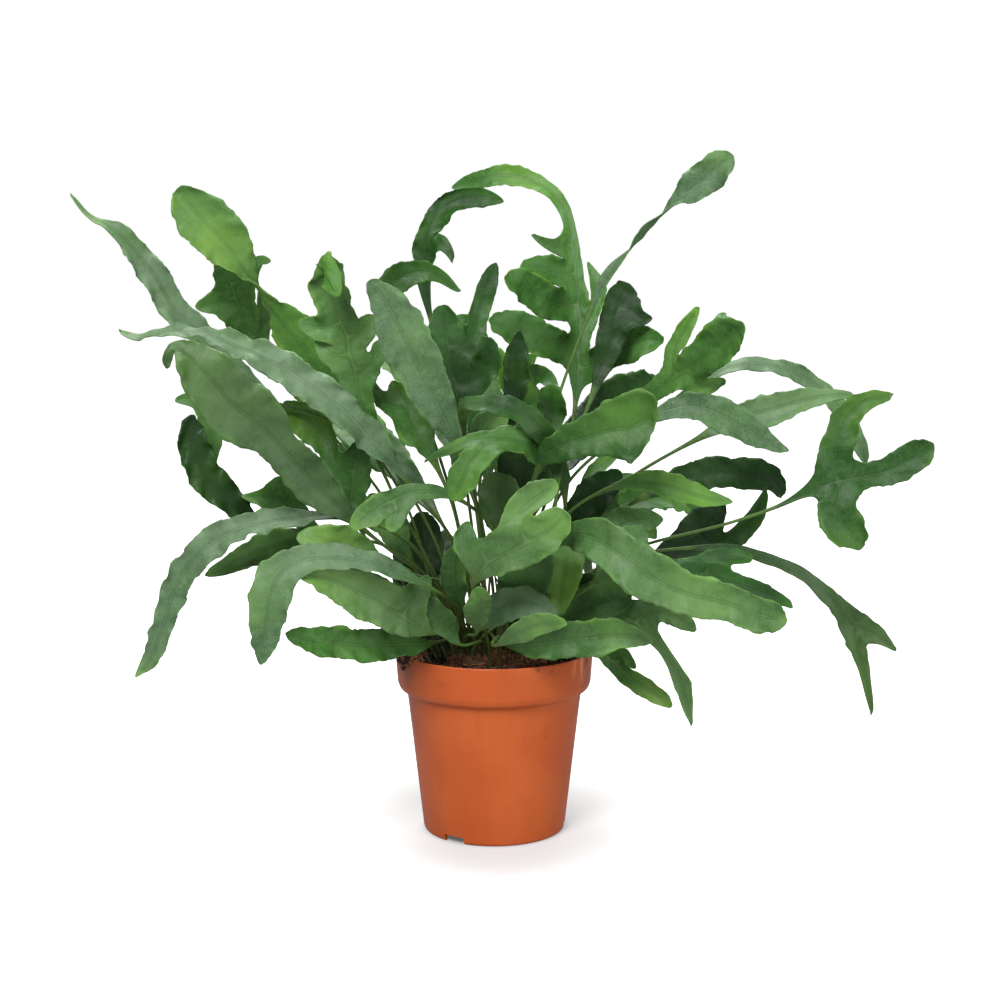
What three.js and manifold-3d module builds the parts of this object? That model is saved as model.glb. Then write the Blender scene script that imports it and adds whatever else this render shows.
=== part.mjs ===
import * as THREE from 'three';
import Module from 'manifold-3d';

const wasm = await Module();
wasm.setup();

// Sizes in millimetres. The floor is z = 0, the pot stands on the Z axis and the front faces -Y.

// Moulded nursery pot, 12 cm across the rim.
const RIM_RADIUS = 60;
const RIM_TOP = 112;
const COLLAR_FOOT_RADIUS = 58.6;
const COLLAR_FOOT = 92;
const LIP_UNDER_RADIUS = 55.2;
const LIP_MID_RADIUS = 57.4;
const LIP_MID = 88.8;
const LIP_UNDER = 87.2;
const BODY_TOP_RADIUS = 53;
const BODY_RADIUS_HIGH = 51.6;
const BODY_HIGH = 75;
const BASE_RADIUS = 43;
const BASE_ROUND = 2;
const WALL = 1.6;
const FLOOR_UNDER = 4;
const FLOOR_TOP = 5.8;
const FOOT_RING_WIDTH = 2.6;
const BOSS_RADIUS = 14;
const POT_SIDES = 32;
const NOTCH_WIDTH = 14;
const NOTCH_HEIGHT = 4.4;
const NOTCH_REACH = 10;
const NOTCH_COUNT = 3;
const FIRST_NOTCH_DEG = -124;

// Soil, a little below the rim, heaped slightly towards the crown.
const SOIL_GAP = 0.4;
const SOIL_EDGE = 104.5;
const SOIL_HEAP = 3;
const SOIL_ROUGH = 0.7;
const SOIL_SIDES = 18;
const SOIL_RINGS = [46, 30, 14, 0];
const STEM_HOLE_RADIUS = 1.95;
const STEM_HOLE_SIDES = 5;
const IN_SOIL = { depth: 9, rise: 5 };
const ON_RHIZOME = { depth: -1, rise: 8 };

// Forked rhizome creeping over the soil between the stipes.
const RHIZOME_RADIUS = 4;
const RHIZOME_SIDES = 7;
const RHIZOME_RINGS = 8;
const RHIZOME_ARMS = [
  [[-30, -22], [-15, -27], [1, -25], [16, -28], [30, -22]],
  [[0, -25], [5, -9], [1, 8], [7, 25]],
];

// Stipe places on the soil.
const CROWN = { x: -2, y: -2, reachX: 38, reachY: 32, spacing: 5.7 };

// Stipes and blades.
const STIPE_HALF_WIDTH = 0.9;
const STIPE_MID_THICK = 1.8;
const STIPE_EDGE_THICK = 1.1;
const BLADE_MID_THICK = 1.5;
const BLADE_EDGE_THICK = 0.8;
const STIPE_INTERVALS = 4;
const RING_SPACING = 11.5;
const FINE_SPACING = 8.6;
const BACK_SPACING = 17;
const BACK_DEPTH = 30;
const CUP = 0.16;
const WAVE_SIZE = 1.35;
const WAVE_LENGTH = 33;
const SCALLOP_LENGTH = 36;
const SCALLOP = 0.085;
const EDGES_OUT_OF_STEP = 2.1;
const LOBE_REACH = 36;
const CLEAR = 0.42;
const TRIALS = 700;
const FROND_SEED = 500;
const INNER_SEED = 900;

// The fronds are set out as seen from this point, straight in front of the pot.
const EYE = new THREE.Vector3(3.5, -1100, 358);
const UP = new THREE.Vector3(0, 0, 1);

// Each blade point: across, up, depth, half width, and how far the upper face turns to the front
// (1 facing it, 0 facing up, below 0 showing the underside). Depths in a lobe count from its foot.
const FRONDS = [
  // Long blade arching over on the right of the middle, with six side lobes.
  {
    blade: [[49, 262, -25, 2.5, 1], [50, 284, -25, 6, 1], [51, 302, -25, 7, 1], [50, 320, -25, 6, 1],
      [48, 338, -25, 5, 1], [46, 355, -24, 3.5, 0.9], [43, 371, -23, 3.5, 0.6], [34, 384, -22, 4.5, 0.6],
      [20, 392, -21, 6, 0.7], [3, 394, -20, 6.5, 0.8], [-12, 391, -20, 5, 0.9], [-26, 386, -20, 1, 0.9]],
    lobes: [
      { at: [49, 347], to: [[36, 352, 0, 4, 0.9], [20, 361, 0, 1, 0.9]] },
      { at: [50, 331], to: [[35, 339, -3, 8, 0.9], [22, 342, -8, 7, 0.7], [14, 339, -12, 3, 0.6]] },
      { at: [50, 311], to: [[34, 319, -5, 10, 1], [17, 329, -12, 11, 0.8], [3, 333, -18, 6, 0.5]] },
      { at: [50, 290], to: [[33, 296, -8, 10, 1], [14, 304, -16, 11, 0.8], [-6, 309, -22, 6, 0.5]] },
      { at: [52, 304], to: [[59, 316, -4, 8, 0.9], [60, 329, -5, 7, 0.9], [54, 345, -5, 1.5, 0.9]] },
      { at: [52, 284], to: [[66, 289, -8, 10, 1], [84, 297, -12, 11, 1], [103, 298, -14, 3, 0.9]] },
    ],
    wave: 1.2,
  },
  // Large blade facing the front, left of the middle.
  {
    blade: [[-23, 236, -70, 2, 1], [-32, 256, -75, 10, 1], [-43, 277, -79, 13, 1], [-52, 297, -82, 14, 1],
      [-60, 313, -84, 12.5, 1], [-68, 326, -85, 6.5, 1], [-74, 336, -85, 1, 1]],
    wave: 1.2,
  },
  // Broad blade with the hooked tip on the left.
  {
    blade: [[-86, 190, -75, 3, 0.9], [-98, 202, -80, 9, 1], [-108, 212, -84, 13, 1],
      [-118, 223, -87, 11, 1], [-127, 234, -90, 8.5, 1], [-137, 244, -92, 14, 1],
      [-148, 253, -94, 17.5, 1], [-160, 264, -95, 17, 1], [-171, 277, -95, 14, 0.9],
      [-181, 290, -94, 9.5, 0.7], [-190, 294, -93, 6, 0.5], [-195, 288, -92, 4, 0.5],
      [-195, 278, -92, 1, 0.5]],
    wave: 1.5,
  },
  // Long bright blade reaching out to the right over the rim.
  {
    blade: [[40, 176, -85, 3, 0.8], [51, 182, -104, 8.5, 0.9], [65, 177, -118, 11, 1],
      [80, 165, -126, 12.5, 1], [97, 153, -130, 12.5, 1], [114, 145, -132, 10.5, 1],
      [134, 141, -133, 9.5, 1], [154, 134, -133, 9.5, 1], [171, 129, -133, 8, 1], [180, 129, -133, 4, 1]],
    wave: 1.4,
  },
  // Sail-like blade right of the middle.
  {
    blade: [[27, 222, -80, 3, 0.8], [31, 231, -88, 7, 0.9], [43, 236, -92, 8, 1], [56, 240, -94, 10.5, 1],
      [68, 244, -96, 14, 1], [80, 246.5, -97, 18.5, 1], [88, 246, -98, 22, 1], [93, 244, -98, 22, 1],
      [97, 242, -98, 6, 1]],
    wave: 0.5,
  },
  // Two-lobed blade at the middle of the front.
  {
    blade: [[-11, 154, -95, 1.5, 1], [-7, 162, -100, 8, 1], [4, 168, -106, 10.5, 1], [17, 174, -111, 11, 1],
      [31, 182, -115, 11, 1], [41, 190, -117, 8, 1], [47, 196, -118, 3, 1]],
    lobes: [
      { at: [8, 181], to: [[17, 193, 4, 10.5, 1], [28, 204, 6, 11, 1], [40, 213, 7, 4, 1]] },
      { at: [-12, 164], to: [[-17, 173, 3, 7, 1], [-18, 182, 4, 6.5, 1], [-15, 190, 5, 2, 1]] },
    ],
    wave: 0.8,
  },
  // Bright blade hanging over its own stipe.
  {
    blade: [[50, 178, -76, 2, 0.5], [49, 187, -88, 6, 0.6], [46, 180, -101, 9.5, 0.9],
      [43, 166, -106, 10.5, 1], [41, 152, -107, 10, 1], [40, 140, -107, 7, 1], [40, 129, -106, 1.5, 1]],
    wave: 0.8,
  },
  // Long strap reaching far left.
  {
    blade: [[-52, 213, -55, 2, 0.5], [-66, 230, -58, 7, 0.7], [-84, 250, -60, 9, 0.8],
      [-103, 266, -60, 9.5, 0.8], [-125, 281, -58, 9, 0.8], [-147, 292, -55, 8, 0.7],
      [-170, 301, -50, 5, 0.5], [-192, 303, -45, 4.5, 0.4], [-212, 299, -42, 3.5, 0.4],
      [-224, 304, -40, 1, 0.4]],
    wave: 2,
  },
  // Paddle at the top left, turned over once at its neck.
  {
    blade: [[-86, 256, -15, 3, -0.6], [-100, 277, -18, 12, -0.8], [-114, 296, -20, 14, -0.9],
      [-129, 313, -22, 9, -0.6], [-140, 329, -24, 4, 0.2], [-152, 347, -26, 12, 0.9],
      [-166, 363, -28, 15.5, 1], [-179, 377, -30, 12.5, 1], [-188, 386, -30, 4, 1]],
    wave: 0.8,
  },
  // Twisted paddle at the top right.
  {
    blade: [[58, 318, 18, 2, 0.6], [66, 336, 18, 4, 0.8], [80, 350, 16, 1.7, 0], [88, 362, 15, 5, -0.8],
      [99, 371, 14, 1.9, 0], [110, 381, 13, 7, 0.8], [122, 391, 12, 10, 1], [133, 401, 11, 9.5, 1],
      [141, 407, 10, 4, 1]],
    wave: 0.4,
  },
  // Wavy strap at the far left with its thin curled tip.
  {
    blade: [[-128, 258, 10, 2, 0.6], [-160, 288, 8, 6, 0.8], [-186, 312, 5, 8, 0.9],
      [-201, 336, 0, 8, 0.9], [-212, 352, -3, 7, 0.8], [-224, 363, -5, 4.5, 0.6], [-237, 369, -6, 2, 0.3],
      [-250, 385, -8, 0.9, 0.3]],
    wave: 2.4,
  },
  // Left arch beside the tall one, with a light curled lobe.
  {
    blade: [[-38, 312, 25, 2, 0.7], [-42, 333, 25, 4, 0.8], [-42, 350, 25, 6, 0.8],
      [-37, 366, 25, 6.5, 0.8], [-26, 378, 25, 7, 0.8], [-9, 382, 25, 6, 0.9], [8, 378, 25, 1, 0.9]],
    lobes: [
      { at: [-40, 346], to: [[-33, 357, -6, 5, 0.8], [-26, 352, -9, 3.5, 0.9], [-24, 340, -10, 1, 0.9]] },
    ],
    wave: 1,
  },
  // Dark strap arching over to a thin twisted tip.
  {
    blade: [[-60, 296, -30, 2, 0.6], [-68, 314, -30, 5, 0.8], [-66, 327, -30, 8, 0.9],
      [-57, 334, -30, 9, 0.9], [-45, 339, -30, 7, 0.9], [-34, 337, -30, 4, 0.8], [-25, 330, -30, 2.4, 0.6],
      [-18, 324, -30, 1, 0.8]],
    wave: 0.8,
  },
  // Upright lobed blade with its tip folded over.
  {
    blade: [[-72, 232, -60, 2.5, 0.8], [-79, 256, -62, 8, 1], [-83, 278, -64, 10, 1],
      [-87, 298, -65, 7, 1], [-92, 312, -65, 8.5, 1], [-96, 322, -65, 10, 1], [-99, 332, -66, 10.5, 1],
      [-101, 339, -67, 10.5, 0.7], [-101, 343, -70, 10.5, 0], [-100, 340, -74, 10, -0.8],
      [-97, 334, -76, 7.5, -1], [-94, 328, -77, 4.5, -1], [-92, 322, -77, 1.2, -1]],
    lobes: [
      { at: [-95, 300], to: [[-106, 305, 0, 7, 1], [-117, 309, 0, 2.5, 1]] },
      { at: [-84, 298], to: [[-77, 304, 2, 7, 0.9], [-70, 313, 4, 3, 0.9]] },
      { at: [-78, 272], to: [[-71, 286, 2, 8, 0.9], [-66, 299, 2, 3, 0.9]] },
      { at: [-90, 278], to: [[-99, 286, 4, 6, 0.8], [-107, 298, 8, 2, 0.8]] },
    ],
    wave: 0.6,
  },
  // Green lobed blade behind the top left paddle.
  {
    blade: [[-128, 275, 25, 2, 0.7], [-143, 295, 25, 7, 0.9], [-150, 315, 25, 11, 1], [-157, 333, 25, 9, 1],
      [-164, 348, 25, 3, 1]],
    lobes: [
      { at: [-155, 318], to: [[-166, 320, -2, 6, 1], [-178, 317, -4, 2, 1]] },
      { at: [-140, 302], to: [[-139, 315, 0, 4, 1], [-137, 330, 0, 2, 1]] },
      { at: [-150, 335], to: [[-142, 346, 0, 5, 0.9], [-130, 344, 0, 1.5, 0.9]] },
    ],
    wave: 1.2,
  },
  // Broad arch in the middle with a hanging lobe.
  {
    blade: [[43, 206, -84, 3, 0.9], [38, 221, -94, 7, 0.9], [24, 234, -104, 8, 0.7],
      [5, 239, -110, 7, 0.5], [-14, 237, -112, 5, 0.5], [-29, 231, -113, 3.5, 0.5],
      [-43, 225, -114, 1, 0.5]],
    lobes: [
      { at: [-1, 235], to: [[-14, 226, -8, 8, 0.9], [-20, 212, -10, 8.5, 1], [-27, 199, -10, 3, 1]] },
    ],
    wave: 0.8,
  },
  // Dark strap arching above it.
  {
    blade: [[38, 214, -70, 3, 0.8], [36, 232, -74, 6, 0.8], [27, 247, -77, 7, 0.7], [12, 256, -79, 6, 0.6],
      [-4, 260, -80, 5.5, 0.7], [-17, 260, -80, 4, 0.7], [-25, 259, -80, 1.5, 0.7]],
    wave: 0.8,
  },
  // Blade on a long thin stipe at the far right, three lobes.
  {
    blade: [[170, 197, -55, 1.3, 0.9], [182, 204, -57, 1.6, 1], [196, 211, -58, 5, 1],
      [211, 214, -59, 5.5, 1],
      [236, 219, -60, 8, 1], [248, 226, -60, 9, 1], [258, 231, -60, 7, 1], [265, 236, -60, 2, 1]],
    lobes: [
      {
        at: [202, 216],
        to: [[203, 229, 0, 9, 1], [208, 246, 0, 8, 1], [218, 261, 0, 7.5, 0.9], [240, 265, 0, 1, 0.9]],
      },
      { at: [203, 207], to: [[205, 195, -2, 11, 1], [213, 183, -3, 12, 1], [225, 172, -4, 3.5, 1]] },
    ],
    wave: 1.4,
  },
  // Long strap drooping at the left.
  {
    blade: [[-96, 192, -70, 3, 0.5], [-118, 191, -72, 6, 0.6], [-140, 188, -74, 7, 0.6],
      [-160, 182, -75, 8, 0.7], [-177, 171, -75, 8.5, 0.8], [-190, 154, -74, 7.5, 0.9],
      [-198, 135, -72, 6.5, 0.9], [-204, 115, -70, 5.5, 0.9], [-211, 101, -68, 4.5, 0.9],
      [-219, 93, -68, 1.5, 0.9]],
    wave: 1.4,
  },
  // Blade bent over and hanging face on, lower left.
  {
    blade: [[-42, 150, -85, 3, 0.6], [-62, 160, -95, 5.5, 0.7], [-85, 166, -100, 7, 0.7],
      [-108, 167, -104, 8, 0.7], [-126, 161, -106, 10, 0.9], [-136, 145, -106, 11.5, 1],
      [-138, 127, -105, 10, 1], [-140, 112, -104, 6, 1], [-142, 99, -103, 1, 1]],
    wave: 0.8,
  },
  // Broad blue-grey blade low on the left.
  {
    blade: [[-38, 120, -70, 4, 0.9], [-55, 130, -85, 10, 1], [-75, 142, -98, 13, 1],
      [-95, 152, -106, 10, 0.9], [-112, 157, -110, 5.5, 0.8], [-123, 158, -110, 2, 0.8]],
    lobes: [{ at: [-50, 136], to: [[-45, 146, 8, 6, 1], [-38, 158, 12, 2, 1]] }],
    wave: 0.8,
  },
  // Wavy blade just over the rim on the left.
  {
    blade: [[-38, 114, -48, 3, 0.8], [-58, 113, -62, 8, 1], [-80, 113, -74, 9, 1], [-102, 115, -84, 8.5, 1],
      [-118, 118, -88, 6, 1], [-129, 120, -90, 2, 1]],
    wave: 2.4,
  },
  // Grey-green blade just over the rim on the right.
  {
    blade: [[8, 112, -45, 3, 0.9], [20, 113, -58, 6.5, 1], [34, 114, -70, 8.5, 1], [48, 116, -78, 10.5, 1],
      [62, 118, -84, 10, 1], [77, 119, -88, 8, 1], [89, 117, -91, 4.5, 1], [99, 114, -92, 1, 1]],
    wave: 1.6,
  },
  // Short rounded arch at the front of the crown.
  {
    blade: [[-8, 123, -60, 3, 0.8], [-2, 132, -67, 8, 0.9], [7, 138, -73, 9.5, 0.9],
      [17, 140, -78, 9.5, 0.9], [28, 137, -82, 7.5, 0.9], [36, 131, -84, 4, 0.9], [41, 125, -85, 1.5, 0.9]],
    wave: 0.6,
  },
  // Rounded upright blade behind the two-lobed one.
  {
    blade: [[5, 136, -38, 2, 1], [9, 150, -43, 7, 1], [10, 165, -50, 5, 1], [7, 181, -55, 4.5, 1],
      [4, 194, -58, 10, 1], [2, 206, -60, 12.5, 1], [3, 216, -61, 9, 1], [5, 222, -61, 3, 1]],
    wave: 0.6,
  },
  // Wavy blade at the left edge, above the drooping strap.
  {
    blade: [[-138, 184, -40, 2, 0.7], [-152, 195, -45, 7, 0.9], [-167, 209, -48, 9, 0.9],
      [-178, 226, -50, 10, 1], [-182, 242, -50, 8, 1], [-179, 256, -50, 2, 1]],
    wave: 2,
  },
  // Yellow-green blade behind it with a pointed lobe.
  {
    blade: [[-140, 262, -35, 2, 0.6], [-155, 262, -35, 6, 0.8], [-166, 254, -35, 8.5, 1],
      [-170, 240, -34, 8, 1], [-167, 221, -33, 1.5, 1]],
    lobes: [{ at: [-158, 265], to: [[-176, 263, 0, 5, 0.8], [-193, 262, 0, 1.5, 0.8]] }],
    wave: 0.8,
  },
  // Small rounded blade with a thin side lobe, left.
  {
    blade: [[-106, 183, -50, 3, 0.9], [-118, 192, -50, 7, 1], [-126, 203, -50, 7.5, 1],
      [-130, 212, -50, 6, 1], [-131, 218, -50, 2.5, 1]],
    lobes: [{ at: [-125, 198], to: [[-140, 206, 5, 2.5, 0.5], [-153, 204, 8, 1, 0.5]] }],
    wave: 0.5,
  },
  // Bright pointed blade under the drooping strap.
  {
    blade: [[-96, 180, -45, 3, 0.7], [-115, 178, -48, 7, 0.9], [-135, 174, -50, 9, 1],
      [-152, 167, -50, 7, 1], [-166, 159, -50, 4, 1], [-178, 155, -50, 1, 1]],
    wave: 1,
  },
  // Crinkled blade lower left.
  {
    blade: [[-62, 160, -70, 3, 0.8], [-80, 170, -80, 8, 1], [-97, 177, -85, 10, 1],
      [-111, 180, -88, 8, 0.9], [-121, 178, -88, 3, 0.8]],
    wave: 2.6,
  },
  // Dark upright blade left, with a light side lobe.
  {
    blade: [[-84, 190, -30, 3, 0.9], [-86, 204, -30, 9, 1], [-84, 219, -30, 10, 1], [-80, 232, -30, 7, 1],
      [-77, 241, -30, 2, 1]],
    lobes: [{ at: [-92, 216], to: [[-97, 237, 4, 10, 1], [-112, 250, 6, 11, 1], [-128, 260, 8, 3, 1]] }],
    wave: 1,
  },
  // Blade left of the middle behind the large one, two parts.
  {
    blade: [[-36, 226, -40, 3, 0.9], [-44, 240, -40, 9, 1], [-50, 252, -40, 11, 1], [-56, 264, -40, 8, 1],
      [-61, 275, -40, 2, 1]],
    lobes: [{ at: [-55, 248], to: [[-65, 264, -6, 5, 0.9], [-79, 279, -8, 1, 0.9]] }],
    wave: 1,
  },
  // Light strap across the middle left with a hanging lobe.
  {
    blade: [[-22, 204, -85, 2.5, 0.7], [-38, 208, -88, 4.5, 0.8], [-55, 205, -91, 5, 0.9],
      [-70, 197, -93, 7, 1], [-80, 190, -94, 8, 1], [-87, 183, -94, 3, 1]],
    lobes: [{ at: [-58, 198], to: [[-61, 190, -3, 7, 1], [-62, 181, -4, 2.5, 1]] }],
    wave: 1.2,
  },
  // Dark blade inside the plant, left of the middle.
  {
    blade: [[-25, 126, -36, 2, 0.9], [-28, 138, -41, 7, 0.9], [-32, 150, -45, 6, 1],
      [-38, 163, -50, 9.5, 1], [-42, 176, -54, 12, 1], [-43, 188, -56, 9, 1], [-42, 197, -57, 3, 1]],
    lobes: [{ at: [-46, 158], to: [[-54, 160, -6, 6, 1], [-63, 158, -8, 2, 1]] }],
    wave: 0.8,
  },
  // Dark blade behind the large one, with a narrow and a rounded lobe.
  {
    blade: [[-21, 258, -35, 3, 0.9], [-25, 280, -35, 10, 1], [-28, 298, -34, 11.5, 1],
      [-30, 311, -33, 8, 1], [-31, 321, -32, 1.5, 1]],
    lobes: [
      { at: [-18, 290], to: [[-10, 312, 12, 6, 1], [-4, 330, 14, 5.5, 1], [2, 346, 15, 2, 1]] },
      { at: [-16, 272], to: [[-5, 278, -2, 9, 1], [-3, 291, -6, 8, 0.8], [-9, 302, -10, 3, 0.5]] },
    ],
    wave: 0.8,
  },
  // Dark square-tipped blade behind the tall one.
  {
    blade: [[60, 268, 30, 2.5, 0.8], [67, 291, 30, 8, 1], [72, 311, 30, 9, 1], [76, 326, 30, 8.5, 1],
      [78, 335, 30, 5, 1]],
    lobes: [{ at: [78, 304], to: [[85, 310, 0, 6, 0.9], [95, 311, 0, 1.5, 0.9]] }],
    wave: 0.8,
  },
  // Right upper blade with lobes on both sides.
  {
    blade: [[82, 254, -30, 3, 0.8], [98, 269, -32, 6, 0.9], [115, 281, -34, 8, 0.9], [129, 292, -36, 12, 1],
      [141, 302, -38, 10, 1], [149, 308, -39, 3, 1]],
    lobes: [
      { at: [101, 275], to: [[106, 289, 8, 6.5, 1], [113, 304, 10, 5, 1], [123, 320, 10, 1, 1]] },
      { at: [110, 273], to: [[124, 270, 12, 8, 1], [140, 275, 16, 2, 1]] },
      { at: [128, 302], to: [[133, 307, 0, 4, 1], [137, 314, 0, 1.5, 1]] },
    ],
    wave: 1,
  },
  // Wavy strap arching out at the right.
  {
    blade: [[112, 266, 15, 2, 0.5], [128, 276, 14, 4, 0.9], [146, 283, 12, 4, 0.2], [162, 284, 10, 5, 0.9],
      [176, 279, 8, 4.5, 0.3], [190, 273, 6, 5, 0.9], [202, 262, 5, 5, 0.3], [211, 250, 5, 5, 0.9],
      [218, 238, 5, 5, 0.9], [223, 222, 5, 1.5, 0.9]],
    wave: 2.6,
  },
  // Pale pointed blade at the right.
  {
    blade: [[88, 248, -70, 3, 0.6], [105, 257, -74, 6, 0.8], [122, 259, -78, 8, 0.8],
      [138, 252, -80, 9, 0.9], [153, 243, -81, 8, 0.9], [166, 236, -82, 4, 0.8], [178, 230, -82, 1, 0.8]],
    wave: 1.2,
  },
  // Broad blue-green blade behind it.
  {
    blade: [[128, 242, -40, 3, 0.8], [145, 251, -42, 8, 0.9], [163, 256, -43, 9, 1], [181, 261, -44, 7, 1],
      [198, 265, -44, 4, 0.8], [217, 265, -44, 1.5, 0.6]],
    wave: 1.6,
  },
  // Broad dark strap at the right with its end bent down.
  {
    blade: [[90, 204, 0, 3, 0.8], [108, 213, 0, 8, 0.9], [128, 218, 0, 9, 1], [148, 218, 0, 9, 1],
      [163, 217, -2, 9, 0.9], [171, 211, -4, 6, 0.8], [173, 200, -5, 1.5, 0.8]],
    wave: 0.8,
  },
  // Green pointed blade in front of it.
  {
    blade: [[70, 210, -55, 3, 0.7], [86, 214, -58, 5, 0.8], [102, 211, -60, 8, 0.9],
      [118, 206, -61, 7, 0.9], [131, 202, -61, 4, 0.9], [146, 201, -61, 1.2, 0.9]],
    wave: 0.8,
  },
  // Rounded blade right of the middle with two lobes.
  {
    blade: [[29, 160, -36, 2, 0.8], [34, 174, -42, 6.5, 0.9], [42, 188, -48, 5, 0.9],
      [53, 201, -54, 6, 0.9], [65, 208, -58, 7.5, 1], [77, 213, -60, 6, 1], [85, 218, -60, 2.5, 1]],
    lobes: [
      { at: [52, 208], to: [[59, 219, 6, 4, 0.8], [76, 232, 8, 1, 0.8]] },
      { at: [58, 199], to: [[72, 191, 6, 8, 1], [87, 188, 8, 8, 1], [99, 178, 8, 2, 1]] },
    ],
    wave: 0.8,
  },
  // Dark blade at the right, two rounded parts.
  {
    blade: [[92, 164, -15, 3, 0.8], [110, 172, -15, 9, 0.9], [124, 184, -15, 12, 1], [133, 194, -15, 9, 1],
      [138, 204, -15, 2, 1]],
    lobes: [{ at: [120, 172], to: [[138, 177, 4, 9, 1], [153, 190, 6, 9.5, 1], [163, 210, 7, 3, 1]] }],
    wave: 0.8,
  },
  // Dark strap behind the long bright blade.
  {
    blade: [[84, 156, -75, 3, 0.9], [103, 158, -78, 7, 1], [123, 157, -80, 7, 1], [142, 152, -80, 6, 1],
      [160, 146, -80, 5, 1], [175, 140, -80, 3.5, 1], [182, 136, -80, 1.5, 1]],
    lobes: [
      { at: [118, 164], to: [[130, 167, 4, 4, 0.9], [145, 167, 6, 3.5, 0.9], [158, 167, 8, 1, 0.9]] },
    ],
    wave: 1.4,
  },
  // Twisted strap hanging far out at the right, forked near its end.
  {
    blade: [[118, 173, 15, 2, 0.6], [137, 173, 15, 2.5, 0.9], [156, 169, 15, 3.5, 0.3],
      [173, 163, 15, 3.5, 0.9], [189, 155, 15, 3.5, 0.3], [202, 144, 15, 4.5, 0.9], [213, 130, 15, 6, 0.8],
      [220, 113, 15, 5, 0.9], [226, 94, 15, 3, 0.8], [229, 80, 15, 2, 0.8], [231, 67, 15, 0.9, 0.8]],
    lobes: [
      { at: [213, 134], to: [[224, 125, 0, 3.5, 0.9], [236, 117, 0, 3, 0.9], [246, 107, 0, 1, 0.9]] },
    ],
    wave: 1.6,
  },
  // Low strap at the right, curling down past the rim, with a short lobe.
  {
    blade: [[52, 113, -25, 2.5, 0.9], [64, 111, -28, 4, 1], [74, 100, -30, 5, 1], [84, 91, -30, 5.5, 1],
      [97, 83, -30, 5.5, 1], [106, 77, -30, 4, 1], [110, 74, -30, 1.5, 1]],
    lobes: [{ at: [70, 108], to: [[79, 105, -4, 5.5, 1], [87, 97, -5, 1.5, 1]] }],
    wave: 0.6,
  },
  // Thin wavy blade hanging at the lower right, with a rounded lobe.
  {
    blade: [[50, 132, -42, 3, 0.8], [64, 136, -45, 9, 0.9], [79, 131, -48, 8, 1], [91, 122, -50, 4.5, 1],
      [101, 113, -51, 3, 0.9], [109, 101, -52, 2.5, 0.8], [114, 90, -52, 5, 1], [117, 79, -52, 4.5, 1],
      [119, 69, -52, 1.8, 0.9], [122, 61, -52, 0.9, 0.9]],
    lobes: [{ at: [84, 137], to: [[100, 136, -4, 5.5, 1], [112, 129, -6, 6, 1], [124, 120, -8, 2.5, 1]] }],
    wave: 1.6,
  },
  // Fronds growing back and away, half hidden from the front.
  { blade: [[-34, 192, 30, 3, 0.5], [-55, 218, 60, 9, 0.6], [-76, 240, 88, 13, 0.7],
      [-96, 258, 112, 13, 0.7], [-112, 268, 130, 9, 0.6], [-124, 270, 142, 2, 0.5]],
      pairs: 1, wave: 1.5 },
  { blade: [[-12, 205, 40, 3, 0.5], [-22, 236, 70, 9, 0.5], [-36, 262, 98, 13, 0.5],
      [-52, 280, 124, 13, 0.4], [-66, 288, 146, 8, 0.3], [-78, 287, 160, 2, 0.2]], wave: 1.5 },
  { blade: [[6, 200, 45, 3, 0.5], [10, 234, 80, 8, 0.6], [14, 260, 112, 10, 0.6], [18, 278, 140, 10, 0.5],
    [22, 286, 165, 7, 0.4], [26, 284, 184, 2, 0.3]], pairs: 2, wave: 1.2 },
  { blade: [[24, 195, 35, 3, 0.5], [42, 226, 66, 9, 0.6], [60, 250, 96, 13, 0.7], [80, 266, 122, 13, 0.7],
    [98, 272, 142, 8, 0.5], [110, 268, 156, 2, 0.4]], wave: 1.5 },
  { blade: [[-38, 165, 35, 3, 0.4], [-64, 184, 70, 8, 0.4], [-90, 200, 102, 11, 0.4],
      [-114, 206, 128, 10, 0.3], [-134, 200, 150, 7, 0.2], [-148, 188, 165, 2, 0.2]], wave: 2.2 },
  { blade: [[32, 162, 35, 3, 0.5], [56, 184, 66, 9, 0.6], [80, 200, 96, 13, 0.6], [102, 204, 122, 12, 0.5],
    [122, 196, 144, 7, 0.4], [134, 184, 156, 2, 0.3]], pairs: 1, wave: 1.4 },
  { blade: [[-14, 150, 50, 3, 0.3], [-28, 168, 88, 9, 0.3], [-40, 178, 126, 12, 0.2],
      [-50, 174, 160, 10, 0.1], [-56, 160, 184, 6, 0], [-58, 145, 196, 2, 0]], wave: 1.4 },
  { blade: [[10, 150, 50, 3, 0.3], [22, 170, 92, 9, 0.3], [36, 180, 130, 12, 0.2], [48, 176, 164, 9, 0.1],
    [56, 161, 188, 5, 0], [58, 146, 200, 2, 0]], pairs: 1, wave: 1.8 },
  { blade: [[-4, 212, 25, 3, 0.6], [-7, 246, 46, 9, 0.7], [-10, 274, 64, 13, 0.8], [-15, 296, 80, 12, 0.7],
    [-20, 308, 94, 7, 0.5], [-26, 310, 106, 2, 0.4]], wave: 1.4 },
];

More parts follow.
